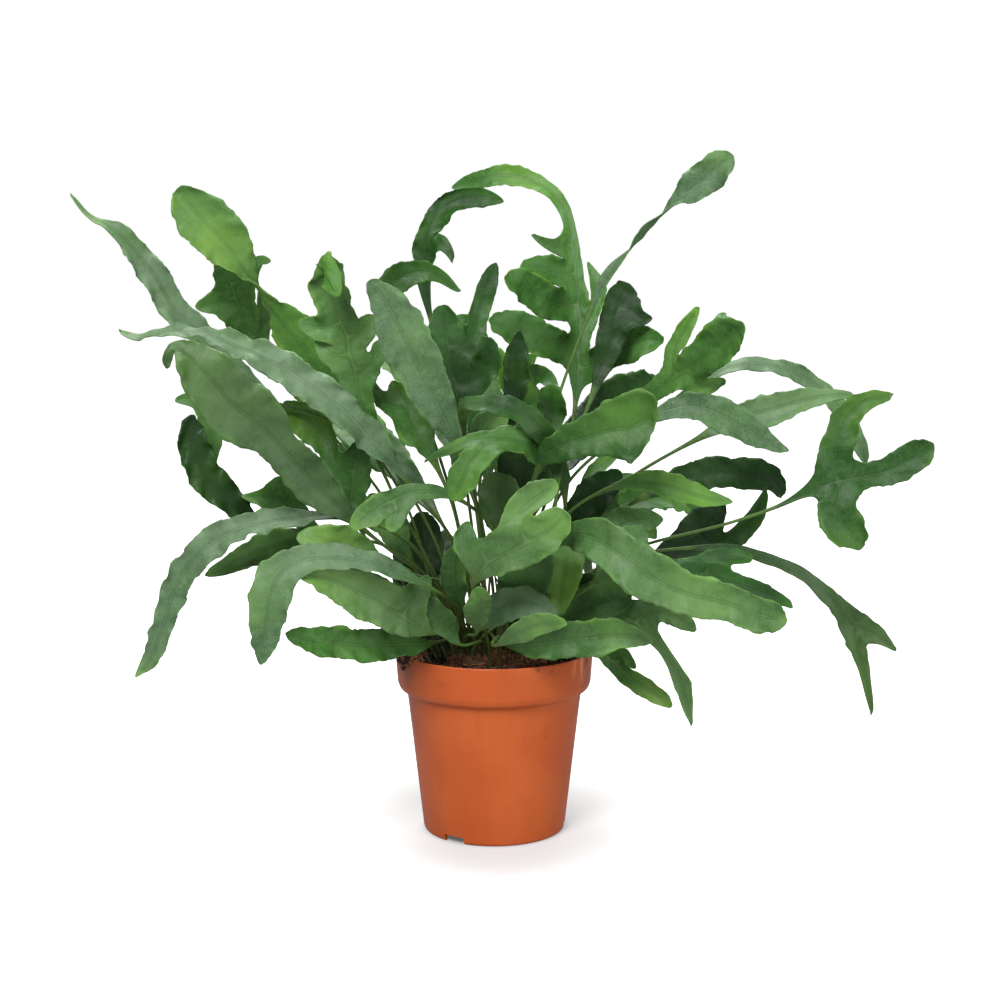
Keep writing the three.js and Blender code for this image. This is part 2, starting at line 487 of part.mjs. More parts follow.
// Shorter fronds inside the plant. They rise straight from the rhizome and are one piece with it.
const INNER_FRONDS = [
  { blade: [[12, 190, -15, 3, 0.9], [15, 208, -18, 11, 1], [18, 224, -20, 14, 1], [20, 240, -21, 12, 1],
    [22, 253, -22, 3, 1]], wave: 0.8 },
  { blade: [[8, 134, -25, 3, 0.9], [13, 146, -29, 11, 1], [20, 157, -32, 14, 1], [27, 168, -34, 10, 1],
    [32, 177, -35, 3, 1]], wave: 0.8 },
  { blade: [[-20, 130, -32, 3, 0.9], [-29, 140, -37, 8, 1], [-40, 148, -41, 9, 1], [-52, 154, -44, 7, 1],
    [-62, 158, -46, 2, 1]], wave: 1.8 },
  { blade: [[34, 126, -25, 3, 0.9], [46, 133, -31, 9, 1], [60, 139, -36, 12, 1], [75, 142, -40, 9, 1],
    [86, 141, -42, 3, 1]], wave: 1.2 },
  { blade: [[42, 186, -30, 3, 0.9], [52, 196, -33, 9, 1], [61, 205, -35, 10, 1], [70, 214, -36, 7, 1],
    [77, 220, -37, 2.5, 1]], wave: 0.8 },
  { blade: [[60, 178, -45, 3, 0.8], [70, 184, -48, 8, 0.9], [82, 188, -50, 9, 1], [94, 190, -52, 6, 1],
    [103, 190, -52, 1.5, 1]], wave: 1.6 },
  { blade: [[-8, 226, -50, 3, 0.9], [-6, 238, -51, 8, 1], [-2, 248, -52, 9, 1], [4, 257, -53, 6, 1],
    [9, 264, -53, 2, 1]], wave: 0.8 },
  { blade: [[10, 246, 5, 2.5, 0.9], [12, 262, 6, 6, 1], [13, 278, 7, 7, 1], [14, 292, 8, 6, 1],
    [15, 305, 9, 2, 1]], wave: 0.8 },
  { blade: [[-22, 113, -52, 2.5, 0.9], [-28, 122, -57, 6, 1], [-35, 132, -61, 7.5, 1], [-42, 141, -64, 5, 1],
    [-48, 147, -66, 1.5, 1]], wave: 2.2 },
  { blade: [[-20, 138, -46, 2.5, 0.9], [-24, 150, -50, 6.5, 1], [-25, 163, -53, 7, 1],
    [-22, 175, -55, 2, 1]], wave: 1.2 },
  { blade: [[-10, 122, -52, 2, 1], [-10, 131, -58, 6, 1], [-9, 140, -63, 7, 1], [-10, 150, -67, 2, 1]],
    wave: 1.6 },
  { blade: [[3, 113, -46, 2.5, 0.9], [13, 120, -52, 5, 1], [25, 125, -57, 6, 1], [36, 127, -60, 4.5, 1],
    [45, 126, -62, 1.5, 1]], wave: 1.6 },
  { blade: [[42, 144, -40, 3, 0.8], [51, 150, -44, 6, 0.9], [61, 151, -47, 5.5, 1], [71, 146, -49, 1.5, 1]],
    wave: 1 },
  { blade: [[62, 152, -62, 3, 0.9], [72, 165, -66, 9, 1], [82, 176, -69, 10, 1], [92, 186, -71, 3, 1]],
    wave: 1.6 },
  { blade: [[28, 232, -20, 2.5, 0.9], [32, 246, -22, 8, 1], [34, 260, -24, 8, 1], [33, 273, -25, 2, 1]],
    wave: 1.2 },
  { blade: [[-52, 168, -30, 3, 0.9], [-60, 182, -33, 8, 1], [-68, 195, -36, 9, 1], [-76, 207, -38, 2.5, 1]],
    wave: 1.4 },
];

// Seeded draws, so that every build is the same plant.
function seeded(seed) {
  let state = seed >>> 0;
  return () => {
    state = (Math.imul(state, 1664525) + 1013904223) >>> 0;
    return state / 4294967296;
  };
}

function material(color, roughness, metalness = 0) {
  return new THREE.MeshStandardMaterial({ color, roughness, metalness });
}

const terracottaPlastic = () => material(0xbe5c37, 0.42);
const darkSoil = () => material(0x2b1d14, 0.95);
const rhizomeScales = () => material(0x6b4a2c, 0.9);

const BLUE_GREENS = [0x6c8670, 0x587f4b, 0x4b7446, 0x3f6a3a, 0x64885a];

function leafGreen(index) {
  return material(BLUE_GREENS[(index * 3) % BLUE_GREENS.length], 0.5);
}

// Closed solid from plain position and index lists, welded where points fall together.
function toManifold(positions, indices) {
  const mesh = new wasm.Mesh({
    numProp: 3,
    vertProperties: new Float32Array(positions),
    triVerts: new Uint32Array(indices),
  });
  mesh.merge();
  return new wasm.Manifold(mesh);
}

function toMesh(solid, name, mat) {
  const data = solid.getMesh();
  const geometry = new THREE.BufferGeometry();
  geometry.setAttribute('position', new THREE.Float32BufferAttribute(data.vertProperties, 3));
  geometry.setIndex(Array.from(data.triVerts));
  geometry.computeVertexNormals();
  const mesh = new THREE.Mesh(geometry, mat);
  mesh.name = name;
  return mesh;
}

// Solid of revolution about Z from a closed profile of [radius, height] pairs, given anticlockwise.
function revolve(profile, sides, lift = () => 0) {
  const positions = [];
  const indices = [];
  const rows = profile.map(([radius, height], row) => {
    if (radius === 0) {
      positions.push(0, 0, height + lift(row, 0));
      return { start: positions.length / 3 - 1, single: true };
    }
    const start = positions.length / 3;
    for (let k = 0; k < sides; k += 1) {
      const angle = (k / sides) * Math.PI * 2;
      positions.push(radius * Math.cos(angle), radius * Math.sin(angle), height + lift(row, k));
    }
    return { start, single: false };
  });
  for (let row = 0; row < rows.length; row += 1) {
    const lower = rows[row];
    const upper = rows[(row + 1) % rows.length];
    for (let k = 0; k < sides && !(lower.single && upper.single); k += 1) {
      const next = (k + 1) % sides;
      const a = lower.start + (lower.single ? 0 : k);
      const b = lower.start + (lower.single ? 0 : next);
      const c = upper.start + (upper.single ? 0 : next);
      const d = upper.start + (upper.single ? 0 : k);
      if (!lower.single) indices.push(a, b, c);
      if (!upper.single) indices.push(a, c, d);
    }
  }
  return toManifold(positions, indices);
}

// Upright prism with a regular outline.
function prism(x, y, low, high, radius, sides) {
  const profile = [[0, low], [radius, low], [radius, high], [0, high]];
  return revolve(profile, sides).translate([x, y, 0]);
}

function boxAt(width, depth, height, deg, radius) {
  const geometry = new THREE.BoxGeometry(depth, width, height);
  geometry.translate(radius, 0, 0);
  geometry.rotateZ(THREE.MathUtils.degToRad(deg));
  return toManifold(geometry.attributes.position.array, geometry.index.array);
}

function potSolid() {
  const profile = [
    [0, 0],
    [BOSS_RADIUS, 0],
    [BOSS_RADIUS + 0.8, FLOOR_UNDER],
    [BASE_RADIUS - FOOT_RING_WIDTH, FLOOR_UNDER],
    [BASE_RADIUS - FOOT_RING_WIDTH, 0],
    [BASE_RADIUS - BASE_ROUND, 0],
    [BASE_RADIUS - 0.5, 0.5],
    [BASE_RADIUS + 0.2, BASE_ROUND],
    [BODY_RADIUS_HIGH, BODY_HIGH],
    [BODY_TOP_RADIUS, LIP_UNDER - 0.8],
    [LIP_UNDER_RADIUS, LIP_UNDER],
    [LIP_MID_RADIUS, LIP_MID],
    [COLLAR_FOOT_RADIUS, COLLAR_FOOT],
    [RIM_RADIUS, RIM_TOP - 0.8],
    [RIM_RADIUS - 0.6, RIM_TOP],
    [RIM_RADIUS - WALL, RIM_TOP - 0.4],
    [COLLAR_FOOT_RADIUS - WALL, COLLAR_FOOT],
    [BODY_TOP_RADIUS - WALL, LIP_UNDER - 0.2],
    [BODY_RADIUS_HIGH - WALL, BODY_HIGH],
    [BASE_RADIUS - WALL + 0.4, FLOOR_TOP],
    [0, FLOOR_TOP],
  ];
  let pot = revolve(profile, POT_SIDES);
  for (let k = 0; k < NOTCH_COUNT; k += 1) {
    const deg = FIRST_NOTCH_DEG + (k * 360) / NOTCH_COUNT;
    const middle = BASE_RADIUS - FOOT_RING_WIDTH / 2;
    pot = pot.subtract(boxAt(NOTCH_WIDTH, NOTCH_REACH, 2 * NOTCH_HEIGHT, deg, middle));
  }
  return pot;
}

function soilHeight(x, y) {
  const r = Math.hypot(x, y) / BODY_RADIUS_HIGH;
  return SOIL_EDGE + SOIL_HEAP * Math.max(0, 1 - r * r);
}

function soilSolid(cutters) {
  const draw = seeded(11);
  const bumps = SOIL_RINGS.length * SOIL_SIDES;
  const rough = Array.from({ length: bumps }, () => (draw() - 0.5) * 2 * SOIL_ROUGH);
  const inner = (radius) => radius - WALL - SOIL_GAP;
  const profile = [
    [0, FLOOR_TOP + SOIL_GAP],
    [inner(BASE_RADIUS), FLOOR_TOP + SOIL_GAP],
    [inner(BODY_RADIUS_HIGH) - 0.3, BODY_HIGH],
    [inner(BODY_TOP_RADIUS) - 0.3, LIP_UNDER],
    [inner(COLLAR_FOOT_RADIUS) - 0.9, COLLAR_FOOT + 0.6],
    [inner(COLLAR_FOOT_RADIUS) + 0.2, SOIL_EDGE],
  ];
  const wallRows = profile.length;
  for (const radius of SOIL_RINGS) profile.push([radius, soilHeight(radius, 0)]);
  const lift = (row, k) => (row >= wallRows ? rough[(row - wallRows) * SOIL_SIDES + k] : 0);
  let soil = revolve(profile, SOIL_SIDES, lift);
  for (const cutter of cutters) soil = soil.subtract(cutter);
  return soil;
}

// Creeping rhizome: a bumpy tapered tube along a curve lying on the soil.
function rhizomeArm(path, swell, seed) {
  const draw = seeded(seed);
  const points = path.map(([x, y], k) => new THREE.Vector3(x, y, soilHeight(x, y) + 0.6 + (k % 2) * 0.8));
  const curve = new THREE.CatmullRomCurve3(points);
  const positions = [];
  const indices = [];
  const ringStart = [];
  for (let i = 0; i <= RHIZOME_RINGS; i += 1) {
    const t = i / RHIZOME_RINGS;
    const centre = curve.getPointAt(t);
    const along = curve.getTangentAt(t);
    const side = new THREE.Vector3().crossVectors(along, UP).normalize();
    const up = new THREE.Vector3().crossVectors(side, along);
    const taper = 0.62 + 0.38 * Math.sin(Math.PI * (0.12 + 0.76 * t));
    const bump = 0.9 + 0.2 * draw();
    const radius = RHIZOME_RADIUS * taper * bump + swell;
    ringStart.push(positions.length / 3);
    for (let k = 0; k < RHIZOME_SIDES; k += 1) {
      const angle = (k / RHIZOME_SIDES) * Math.PI * 2;
      const p = centre.clone();
      p.addScaledVector(side, Math.cos(angle) * radius);
      p.addScaledVector(up, Math.sin(angle) * radius * 0.85);
      positions.push(p.x, p.y, p.z);
    }
  }
  for (let i = 0; i < RHIZOME_RINGS; i += 1) {
    for (let k = 0; k < RHIZOME_SIDES; k += 1) {
      const next = (k + 1) % RHIZOME_SIDES;
      const a = ringStart[i] + k;
      const b = ringStart[i] + next;
      const c = ringStart[i + 1] + next;
      const d = ringStart[i + 1] + k;
      indices.push(a, c, b, a, d, c);
    }
  }
  for (const [ring, t, flip] of [[0, 0, false], [RHIZOME_RINGS, 1, true]]) {
    const tip = curve.getPointAt(t).addScaledVector(curve.getTangentAt(t), (t ? 1 : -1) * (1.6 + swell));
    positions.push(tip.x, tip.y, tip.z);
    const tipIndex = positions.length / 3 - 1;
    for (let k = 0; k < RHIZOME_SIDES; k += 1) {
      const a = ringStart[ring] + k;
      const b = ringStart[ring] + ((k + 1) % RHIZOME_SIDES);
      indices.push(...(flip ? [a, tipIndex, b] : [a, b, tipIndex]));
    }
  }
  const solid = toManifold(positions, indices);
  return solid.volume() > 0 ? solid : toManifold(positions, flipped(indices));
}

function rhizomeSolid(swell) {
  const arms = RHIZOME_ARMS.map((path, k) => rhizomeArm(path, swell, 31 + k));
  return arms.reduce((whole, arm) => whole.add(arm));
}

function flipped(indices) {
  const out = [];
  for (let i = 0; i < indices.length; i += 3) out.push(indices[i], indices[i + 2], indices[i + 1]);
  return out;
}

// True place of a point given as seen from the eye, at the stated depth behind the pot's axis.
function seen(across, up, depth) {
  const p = new THREE.Vector3(across, 0, up).sub(EYE);
  return p.multiplyScalar(1 + depth / -EYE.y).add(EYE);
}

// Smooth track through control points that carries half width and facing along with it.
function track(points) {
  const curve = new THREE.CatmullRomCurve3(points.map((p) => p.at), false, 'centripetal');
  const steps = 16 * (points.length - 1);
  const samples = [];
  let length = 0;
  for (let k = 0; k <= steps; k += 1) {
    const t = k / steps;
    const place = t * (points.length - 1);
    const low = Math.min(points.length - 2, Math.floor(place));
    const f = place - low;
    const at = curve.getPoint(t);
    if (k > 0) length += at.distanceTo(samples[k - 1].at);
    samples.push({
      at,
      length,
      half: THREE.MathUtils.lerp(points[low].half, points[low + 1].half, f),
      face: THREE.MathUtils.lerp(points[low].face, points[low + 1].face, f),
    });
  }
  return samples;
}

function sampleTrack(samples, fraction) {
  const want = fraction * samples[samples.length - 1].length;
  let k = 1;
  while (k < samples.length - 1 && samples[k].length < want) k += 1;
  const a = samples[k - 1];
  const b = samples[k];
  const f = (want - a.length) / Math.max(1e-6, b.length - a.length);
  return {
    at: a.at.clone().lerp(b.at, f),
    tangent: b.at.clone().sub(a.at).normalize(),
    half: THREE.MathUtils.lerp(a.half, b.half, f),
    face: THREE.MathUtils.lerp(a.face, b.face, f),
    length: want,
  };
}

function reject(vector, tangent) {
  return vector.clone().addScaledVector(tangent, -vector.dot(tangent));
}

// Direction of the upper face at a point of a blade.
function faceNormal(at, tangent, face, previous) {
  const outward = new THREE.Vector3(at.x, at.y, 0).multiplyScalar(1 / 260);
  const natural = UP.clone().sub(outward);
  const toEye = EYE.clone().sub(at).normalize();
  const wanted = natural.normalize().multiplyScalar(1 - Math.abs(face)).addScaledVector(toEye, face);
  let normal = reject(wanted, tangent);
  if (previous) normal.addScaledVector(reject(previous, tangent), 0.3);
  return normal.normalize();
}

// Thin cage of one frond: rings of three points (left edge, rib, right edge) with lobes on its edges.
class Cage {
  constructor() {
    this.points = [];
    this.thick = [];
    this.faces = [];
  }

  add(point, thick) {
    this.points.push(point);
    this.thick.push(thick);
    return this.points.length - 1;
  }

  bridge(low, high) {
    this.faces.push([low[1], low[2], high[2]], [low[1], high[2], high[1]]);
    this.faces.push([low[0], low[1], high[1]], [low[0], high[1], high[0]]);
  }

  cap(ring, tip) {
    this.faces.push([ring[0], ring[1], tip], [ring[1], ring[2], tip]);
  }

  solid() {
    const count = this.points.length;
    const normals = this.points.map(() => new THREE.Vector3());
    const edge = new Map();
    for (const [a, b, c] of this.faces) {
      const ab = this.points[b].clone().sub(this.points[a]);
      const ac = this.points[c].clone().sub(this.points[a]);
      const n = ab.cross(ac);
      for (const v of [a, b, c]) normals[v].add(n);
      for (const [p, q] of [[a, b], [b, c], [c, a]]) {
        if (edge.has(q * count + p)) edge.delete(q * count + p);
        else edge.set(p * count + q, [p, q]);
      }
    }
    const positions = new Array(count * 6);
    this.points.forEach((p, v) => {
      const n = normals[v].normalize().multiplyScalar(this.thick[v] / 2);
      positions.splice(v * 3, 3, p.x + n.x, p.y + n.y, p.z + n.z);
      positions.splice((count + v) * 3, 3, p.x - n.x, p.y - n.y, p.z - n.z);
    });
    const indices = [];
    for (const [a, b, c] of this.faces) {
      indices.push(a, b, c, count + a, count + c, count + b);
    }
    for (const [a, b] of edge.values()) {
      indices.push(a, count + a, count + b, a, count + b, b);
    }
    return { positions, indices };
  }
}

function edgeWave(wave, half, run, phase) {
  return WAVE_SIZE * wave * Math.min(1, half / 6) * Math.sin((run * 2 * Math.PI) / WAVE_LENGTH + phase);
}

function addRing(cage, spot, normal, half, wave, phase, thin, keep = null) {
  const side = new THREE.Vector3().crossVectors(spot.tangent, normal).normalize();
  const rib = cage.add(spot.at.clone(), thin ? STIPE_MID_THICK : BLADE_MID_THICK);
  const place = (sign, shift) => {
    const turn = (spot.length * 2 * Math.PI) / SCALLOP_LENGTH + shift;
    const scallop = thin ? 0 : SCALLOP * wave * Math.cos(turn);
    const wide = half * (1 + scallop);
    const span = keep ? keep(spot.at, side.clone().multiplyScalar(sign), wide) : wide;
    const p = spot.at.clone().addScaledVector(side, sign * span);
    const lift = CUP * half * (thin ? 0 : 1) + edgeWave(wave, thin ? 0 : half, spot.length, shift);
    return cage.add(p.addScaledVector(normal, lift), thin ? STIPE_EDGE_THICK : BLADE_EDGE_THICK);
  };
  const left = place(-1, phase);
  const right = place(1, phase + EDGES_OUT_OF_STEP);
  return [left, rib, right];
}

// Finer steps towards the tip, so that rounded tips stay round.
function tipward(u) {
  return 1 - (1 - u) ** 1.2;
}

// Runs a strip of rings along a track, starting from a given first ring, and closes it at the tip.
function runStrip(cage, samples, firstRing, firstNormal, wave, phase, intervals, keep = null) {
  const rings = [firstRing];
  const spots = [null];
  let previous = firstNormal;
  for (let i = 1; i < intervals; i += 1) {
    const spot = sampleTrack(samples, tipward(i / intervals));
    const normal = faceNormal(spot.at, spot.tangent, spot.face, previous);
    previous = normal;
    const ring = addRing(cage, spot, normal, Math.max(0.9, spot.half), wave, phase, false, keep);
    cage.bridge(rings[rings.length - 1], ring);
    rings.push(ring);
    spots.push({ ...spot, normal });
  }
  const end = sampleTrack(samples, 1);
  const tip = cage.add(end.at, BLADE_EDGE_THICK);
  cage.cap(rings[rings.length - 1], tip);
  return { rings, spots };
}

function lobeTrack(placed, foot, half, to, shift) {
  const points = [{ at: foot.clone(), half, face: to[0][4] }];
  const out = foot.clone().sub(placed.spot.at).normalize();
  const lean = (shift.draw() - 0.5) * shift.lobe;
  to.forEach(([across, up, depth, width, face], k) => {
    const at = seen(across, up, foot.y + depth + lean * ((k + 1) / to.length));
    const step = at.clone().sub(foot);
    const tight = step.length() < 6 || step.dot(out) < 0.3 * step.length();
    if (k === to.length - 1 || points.length > 1 || !tight) points.push({ at, half: width, face });
  });
  return track(points);
}

// Local side lobe for the fronds at the back, set at an angle to the rib.
function plainLobe(spot, sign, reach) {
  const side = new THREE.Vector3().crossVectors(spot.tangent, spot.normal).multiplyScalar(sign);
  const out = side.multiplyScalar(0.8).addScaledVector(spot.tangent, 0.6);
  return [0.5, 1].map((f) => ({
    at: spot.at.clone().addScaledVector(out, reach * f).addScaledVector(UP, -0.16 * reach * f * f),
    half: f === 1 ? 2 : 7.5,
    face: spot.face,
  }));
}

// Builds one frond; shift holds the depth changes tried for it, root and footing where it starts.
function buildFrond(row, phase, shift, root, footing) {
  const cage = new Cage();
  const last = row.blade.length - 1;
  const points = row.blade.map(([across, up, depth, half, face], k) => {
    const f = k / last;
    return { at: seen(across, up, depth + shift.base * (1 - f) + shift.tip * f), half, face };
  });
  const blade = track(points);
  const first = sampleTrack(blade, 0);
  const ground = soilHeight(root[0], root[1]);
  const rootTop = new THREE.Vector3(root[0], root[1], ground + footing.rise);
  const rootEnd = new THREE.Vector3(root[0], root[1], ground - footing.depth);
  const reach = rootTop.distanceTo(first.at);
  const rise = rootTop.clone().addScaledVector(UP, reach * shift.rise);
  rise.x += (first.at.x - rootTop.x) * 0.1;
  rise.y += (first.at.y - rootTop.y) * 0.1;
  const bend = first.at.clone().addScaledVector(first.tangent, -reach * 0.34);
  bend.z = Math.max(bend.z, rootTop.z + 0.35 * (first.at.z - rootTop.z));
  const stipe = new THREE.CubicBezierCurve3(rootTop, rise, bend, first.at);

  const frames = [];
  let normal = faceNormal(first.at, first.tangent, first.face, null);
  for (let i = STIPE_INTERVALS; i >= 0; i -= 1) {
    const t = i / STIPE_INTERVALS;
    const tangent = stipe.getTangent(t);
    normal = reject(normal, tangent).normalize();
    frames.unshift({ at: stipe.getPoint(t), tangent, normal: normal.clone(), length: 0 });
  }
  const upright = reject(frames[0].normal, UP).normalize();
  frames[0].tangent = UP.clone();
  frames[0].normal = upright;
  frames.unshift({ at: rootEnd, tangent: UP.clone(), normal: upright.clone(), length: 0 });
  let previous = null;
  for (const frame of frames) {
    const ring = addRing(cage, frame, frame.normal, STIPE_HALF_WIDTH, 0, 0, true);
    if (previous) cage.bridge(previous, ring);
    previous = ring;
  }

  const length = blade[blade.length - 1].length;
  const plain = row.blade[0][2] < BACK_DEPTH ? RING_SPACING : BACK_SPACING;
  const spacing = (row.lobes ?? []).length > 2 ? FINE_SPACING : plain;
  const intervals = THREE.MathUtils.clamp(Math.round(length / spacing), 6, 24);
  const neck = frames[frames.length - 1].normal;
  const strip = runStrip(cage, blade, previous, neck, row.wave, phase, intervals);

  const taken = new Set();
  const lobes = [...(row.lobes ?? [])].map((lobe) => ({ ...lobe }));
  for (let pair = 0; pair < (row.pairs ?? 0); pair += 1) {
    for (const sign of [-1, 1]) lobes.push({ sign, share: 0.34 + 0.26 * pair + (sign > 0 ? 0.1 : 0) });
  }
  for (const lobe of lobes) {
    const placed = lobeSlot(cage, strip, lobe, taken, shift);
    if (!placed) return null;
    const foot = cage.points[placed.ring[1]];
    const spanHalf = cage.points[placed.ring[0]].distanceTo(cage.points[placed.ring[2]]) / 2;
    const samples = lobe.to
      ? lobeTrack(placed, foot, spanHalf, lobe.to, shift)
      : track([{ at: foot.clone(), half: spanHalf, face: placed.spot.face },
        ...plainLobe(placed.spot, lobe.sign, LOBE_REACH)]);
    const lobeLength = samples[samples.length - 1].length;
    const steps = THREE.MathUtils.clamp(Math.round(lobeLength / 10), 3, 6);
    const keep = besideRib(cage, placed);
    runStrip(cage, samples, placed.ring, placed.spot.normal, row.wave * 0.7, phase + 3, steps, keep);
  }
  return cage.solid();
}

// Narrows a lobe near its foot, so that its inner edge never folds back over the rib.
function besideRib(cage, placed) {
  const foot = cage.points[placed.ring[1]];
  const out = foot.clone().sub(placed.spot.at).normalize();
  return (centre, side, half) => {
    const away = centre.clone().sub(foot).dot(out);
    const lean = side.dot(out) * half;
    const least = 0.4 * away;
    return lean < 0 && away + lean < least ? half * (away - least) / -lean : half;
  };
}

// Picks three free edge points in a row, nearest to where the lobe starts, and orders them.
function lobeSlot(cage, strip, lobe, taken, shift) {
  const { rings, spots } = strip;
  const share = lobe.share ? Math.round(lobe.share * rings.length) : 0;
  let best = null;
  for (const edge of [0, 2]) {
    if (lobe.sign && (edge === 0) === lobe.sign > 0) continue;
    for (let c = 1; c < rings.length - 1; c += 1) {
      const used = [c - 1, c].some((i) => taken.has(`${edge}:${i}`));
      if (used) continue;
      const point = cage.points[rings[c][edge]];
      const place = ([across, up]) => point.distanceTo(seen(across, up, point.y));
      const out = point.clone().sub(cage.points[rings[c][1]]);
      if (lobe.to && seen(lobe.to[0][0], lobe.to[0][1], point.y).sub(point).dot(out) < 0) continue;
      const miss = lobe.at ? place(lobe.at) + place(lobe.to[0]) : Math.abs(c - share);
      const cost = miss + shift.slot * shift.draw();
      if (!best || cost < best.cost) best = { cost, edge, c };
    }
  }
  if (!best) return null;
  const { edge, c } = best;
  taken.add(`${edge}:${c - 1}`).add(`${edge}:${c}`);
  const three = [rings[c - 1][edge], rings[c][edge], rings[c + 1][edge]];
  return { ring: edge === 2 ? three.reverse() : three, spot: spots[c] };
}

// True when any two triangles of a frond that share no corner cut through each other.
function crossesItself(positions, indices) {
  const corner = (v) => new THREE.Vector3(positions[v * 3], positions[v * 3 + 1], positions[v * 3 + 2]);
  const tris = [];
  for (let i = 0; i < indices.length; i += 3) {
    const ids = [indices[i], indices[i + 1], indices[i + 2]];
    const pts = ids.map(corner);
    tris.push({ ids, pts, box: new THREE.Box3().setFromPoints(pts) });
  }
  const ray = new THREE.Ray();
  const hit = new THREE.Vector3();
  const cuts = (from, to, pts) => {
    const reach = from.distanceTo(to);
    ray.origin.copy(from);
    ray.direction.copy(to).sub(from).normalize();
    const found = ray.intersectTriangle(pts[0], pts[1], pts[2], false, hit);
    return found !== null && hit.distanceTo(from) < reach;
  };
  for (let i = 0; i < tris.length; i += 1) {
    for (let j = i + 1; j < tris.length; j += 1) {
      if (!tris[i].box.intersectsBox(tris[j].box)) continue;
      if (tris[i].ids.some((v) => tris[j].ids.includes(v))) continue;
      for (const [one, two] of [[tris[i].pts, tris[j].pts], [tris[j].pts, tris[i].pts]]) {
        for (let k = 0; k < 3; k += 1) {
          if (cuts(one[k], one[(k + 1) % 3], two)) return true;
        }
      }
    }
  }
  return false;
}

function rhizomeCurves() {
  const flat = (path) => path.map(([x, y]) => new THREE.Vector3(x, y, 0));
  return RHIZOME_ARMS.map((path) => new THREE.CatmullRomCurve3(flat(path)));
}

// Places on the soil where a stipe may stand, clear of the rhizome.
function soilSites() {
  const { spacing } = CROWN;
  const sites = [];
  const along = rhizomeCurves().flatMap((curve) => curve.getPoints(40));
  for (let row = -8; row <= 8; row += 1) {
    for (let col = -8; col <= 8; col += 1) {
      const x = CROWN.x + (col + (row % 2 ? 0.5 : 0)) * spacing;
      const y = CROWN.y + row * spacing * 0.87;
      if (Math.hypot((x - CROWN.x) / CROWN.reachX, (y - CROWN.y) / CROWN.reachY) > 1) continue;
      const spot = new THREE.Vector3(x, y, 0);
      const near = Math.min(...along.map((p) => p.distanceTo(spot)));
      if (near > RHIZOME_RADIUS + 2.2) sites.push([x, y]);
    }
  }
  return sites;
}

// Places along the rhizome where an inner frond may rise.
function rhizomeSites() {
  return rhizomeCurves().flatMap((curve) => {
    const steps = Math.floor(curve.getLength() / CROWN.spacing);
    return curve.getSpacedPoints(steps).slice(1, -1).map((p) => [p.x, p.y]);
  });
}

function boxesApart(a, b) {
  return [0, 1, 2].some((k) => a.min[k] > b.max[k] + CLEAR || b.min[k] > a.max[k] + CLEAR);
}

// A frond may not dip into the soil or lean through the rim on its way out.
function clearOfSoil(positions, root) {
  for (let i = 0; i < positions.length; i += 3) {
    const [x, y, z] = positions.slice(i, i + 3);
    const inHole = Math.hypot(x - root[0], y - root[1]) < STEM_HOLE_RADIUS;
    if (!inHole && Math.hypot(x, y) < RIM_RADIUS && z < soilHeight(x, y) + 2) return false;
  }
  return true;
}

// Sets fronds one after another, moving each along the line of sight until it is clear of the rest.
function placeFronds(rows, sites, placed, footing, seed) {
  const fronds = [];
  rows.forEach((row, index) => {
    const draw = seeded(seed + index);
    const [across, , depth] = row.blade[0];
    const wishX = THREE.MathUtils.clamp(across * 0.2, -34, 30);
    const wishY = THREE.MathUtils.clamp(depth * 0.25, -28, 28);
    const away = ([x, y]) => Math.hypot(x - wishX, y - wishY);
    const order = [...sites].sort((a, b) => away(a) - away(b));
    for (let trial = 0; trial < TRIALS; trial += 1) {
      const spread = trial === 0 ? 0 : 4 + trial * 0.25;
      const shift = {
        base: (draw() - 0.5) * 2 * spread,
        tip: (draw() - 0.5) * 2.4 * spread,
        rise: 0.3 + 0.3 * draw(),
        lobe: trial === 0 ? 0 : 6 + 0.1 * trial,
        slot: trial === 0 ? 0 : 12,
        draw,
      };
      const root = order[Math.floor(draw() * Math.min(order.length, 1 + trial / 6))];
      const raw = buildFrond(row, index * 1.7, shift, root, footing);
      if (!raw || !clearOfSoil(raw.positions, root) || crossesItself(raw.positions, raw.indices)) continue;
      const solid = toManifold(raw.positions, raw.indices);
      const box = solid.boundingBox();
      const near = placed.filter((other) => !boxesApart(box, other.box));
      if (near.some((other) => solid.minGap(other.solid, CLEAR) < CLEAR)) continue;
      placed.push({ solid, box });
      fronds.push({ solid, root, index });
      sites.splice(sites.indexOf(root), 1);
      break;
    }
  });
  return fronds;
}

const group = new THREE.Group();
group.name = 'potted_blue_star_fern';

const pot = potSolid();
const rhizome = rhizomeSolid(0);
const placed = [pot, rhizome].map((solid) => ({ solid, box: solid.boundingBox() }));
const fronds = placeFronds(FRONDS, soilSites(), placed, IN_SOIL, FROND_SEED);
for (const { solid, index } of fronds) {
  group.add(toMesh(solid, `frond_${String(index + 1).padStart(2, '0')}`, leafGreen(index)));
}

placed.splice(1, 1);
const inner = placeFronds(INNER_FRONDS, rhizomeSites(), placed, ON_RHIZOME, INNER_SEED);
const crown = inner.reduce((whole, { solid }) => whole.add(solid), rhizome);
group.add(toMesh(crown, 'rhizome_with_inner_fronds', rhizomeScales()));
group.add(toMesh(pot, 'pot', terracottaPlastic()));

const holes = fronds.map(({ root: [x, y] }) => {
  const low = soilHeight(x, y) - IN_SOIL.depth - 0.6;
  return prism(x, y, low, RIM_TOP, STEM_HOLE_RADIUS, STEM_HOLE_SIDES);
});
group.add(toMesh(soilSolid([...holes, rhizomeSolid(SOIL_GAP)]), 'soil', darkSoil()));

export default group;
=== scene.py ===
import math

import bmesh
import bpy
import numpy as np
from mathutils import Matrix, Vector, noise
from mathutils.bvhtree import BVHTree


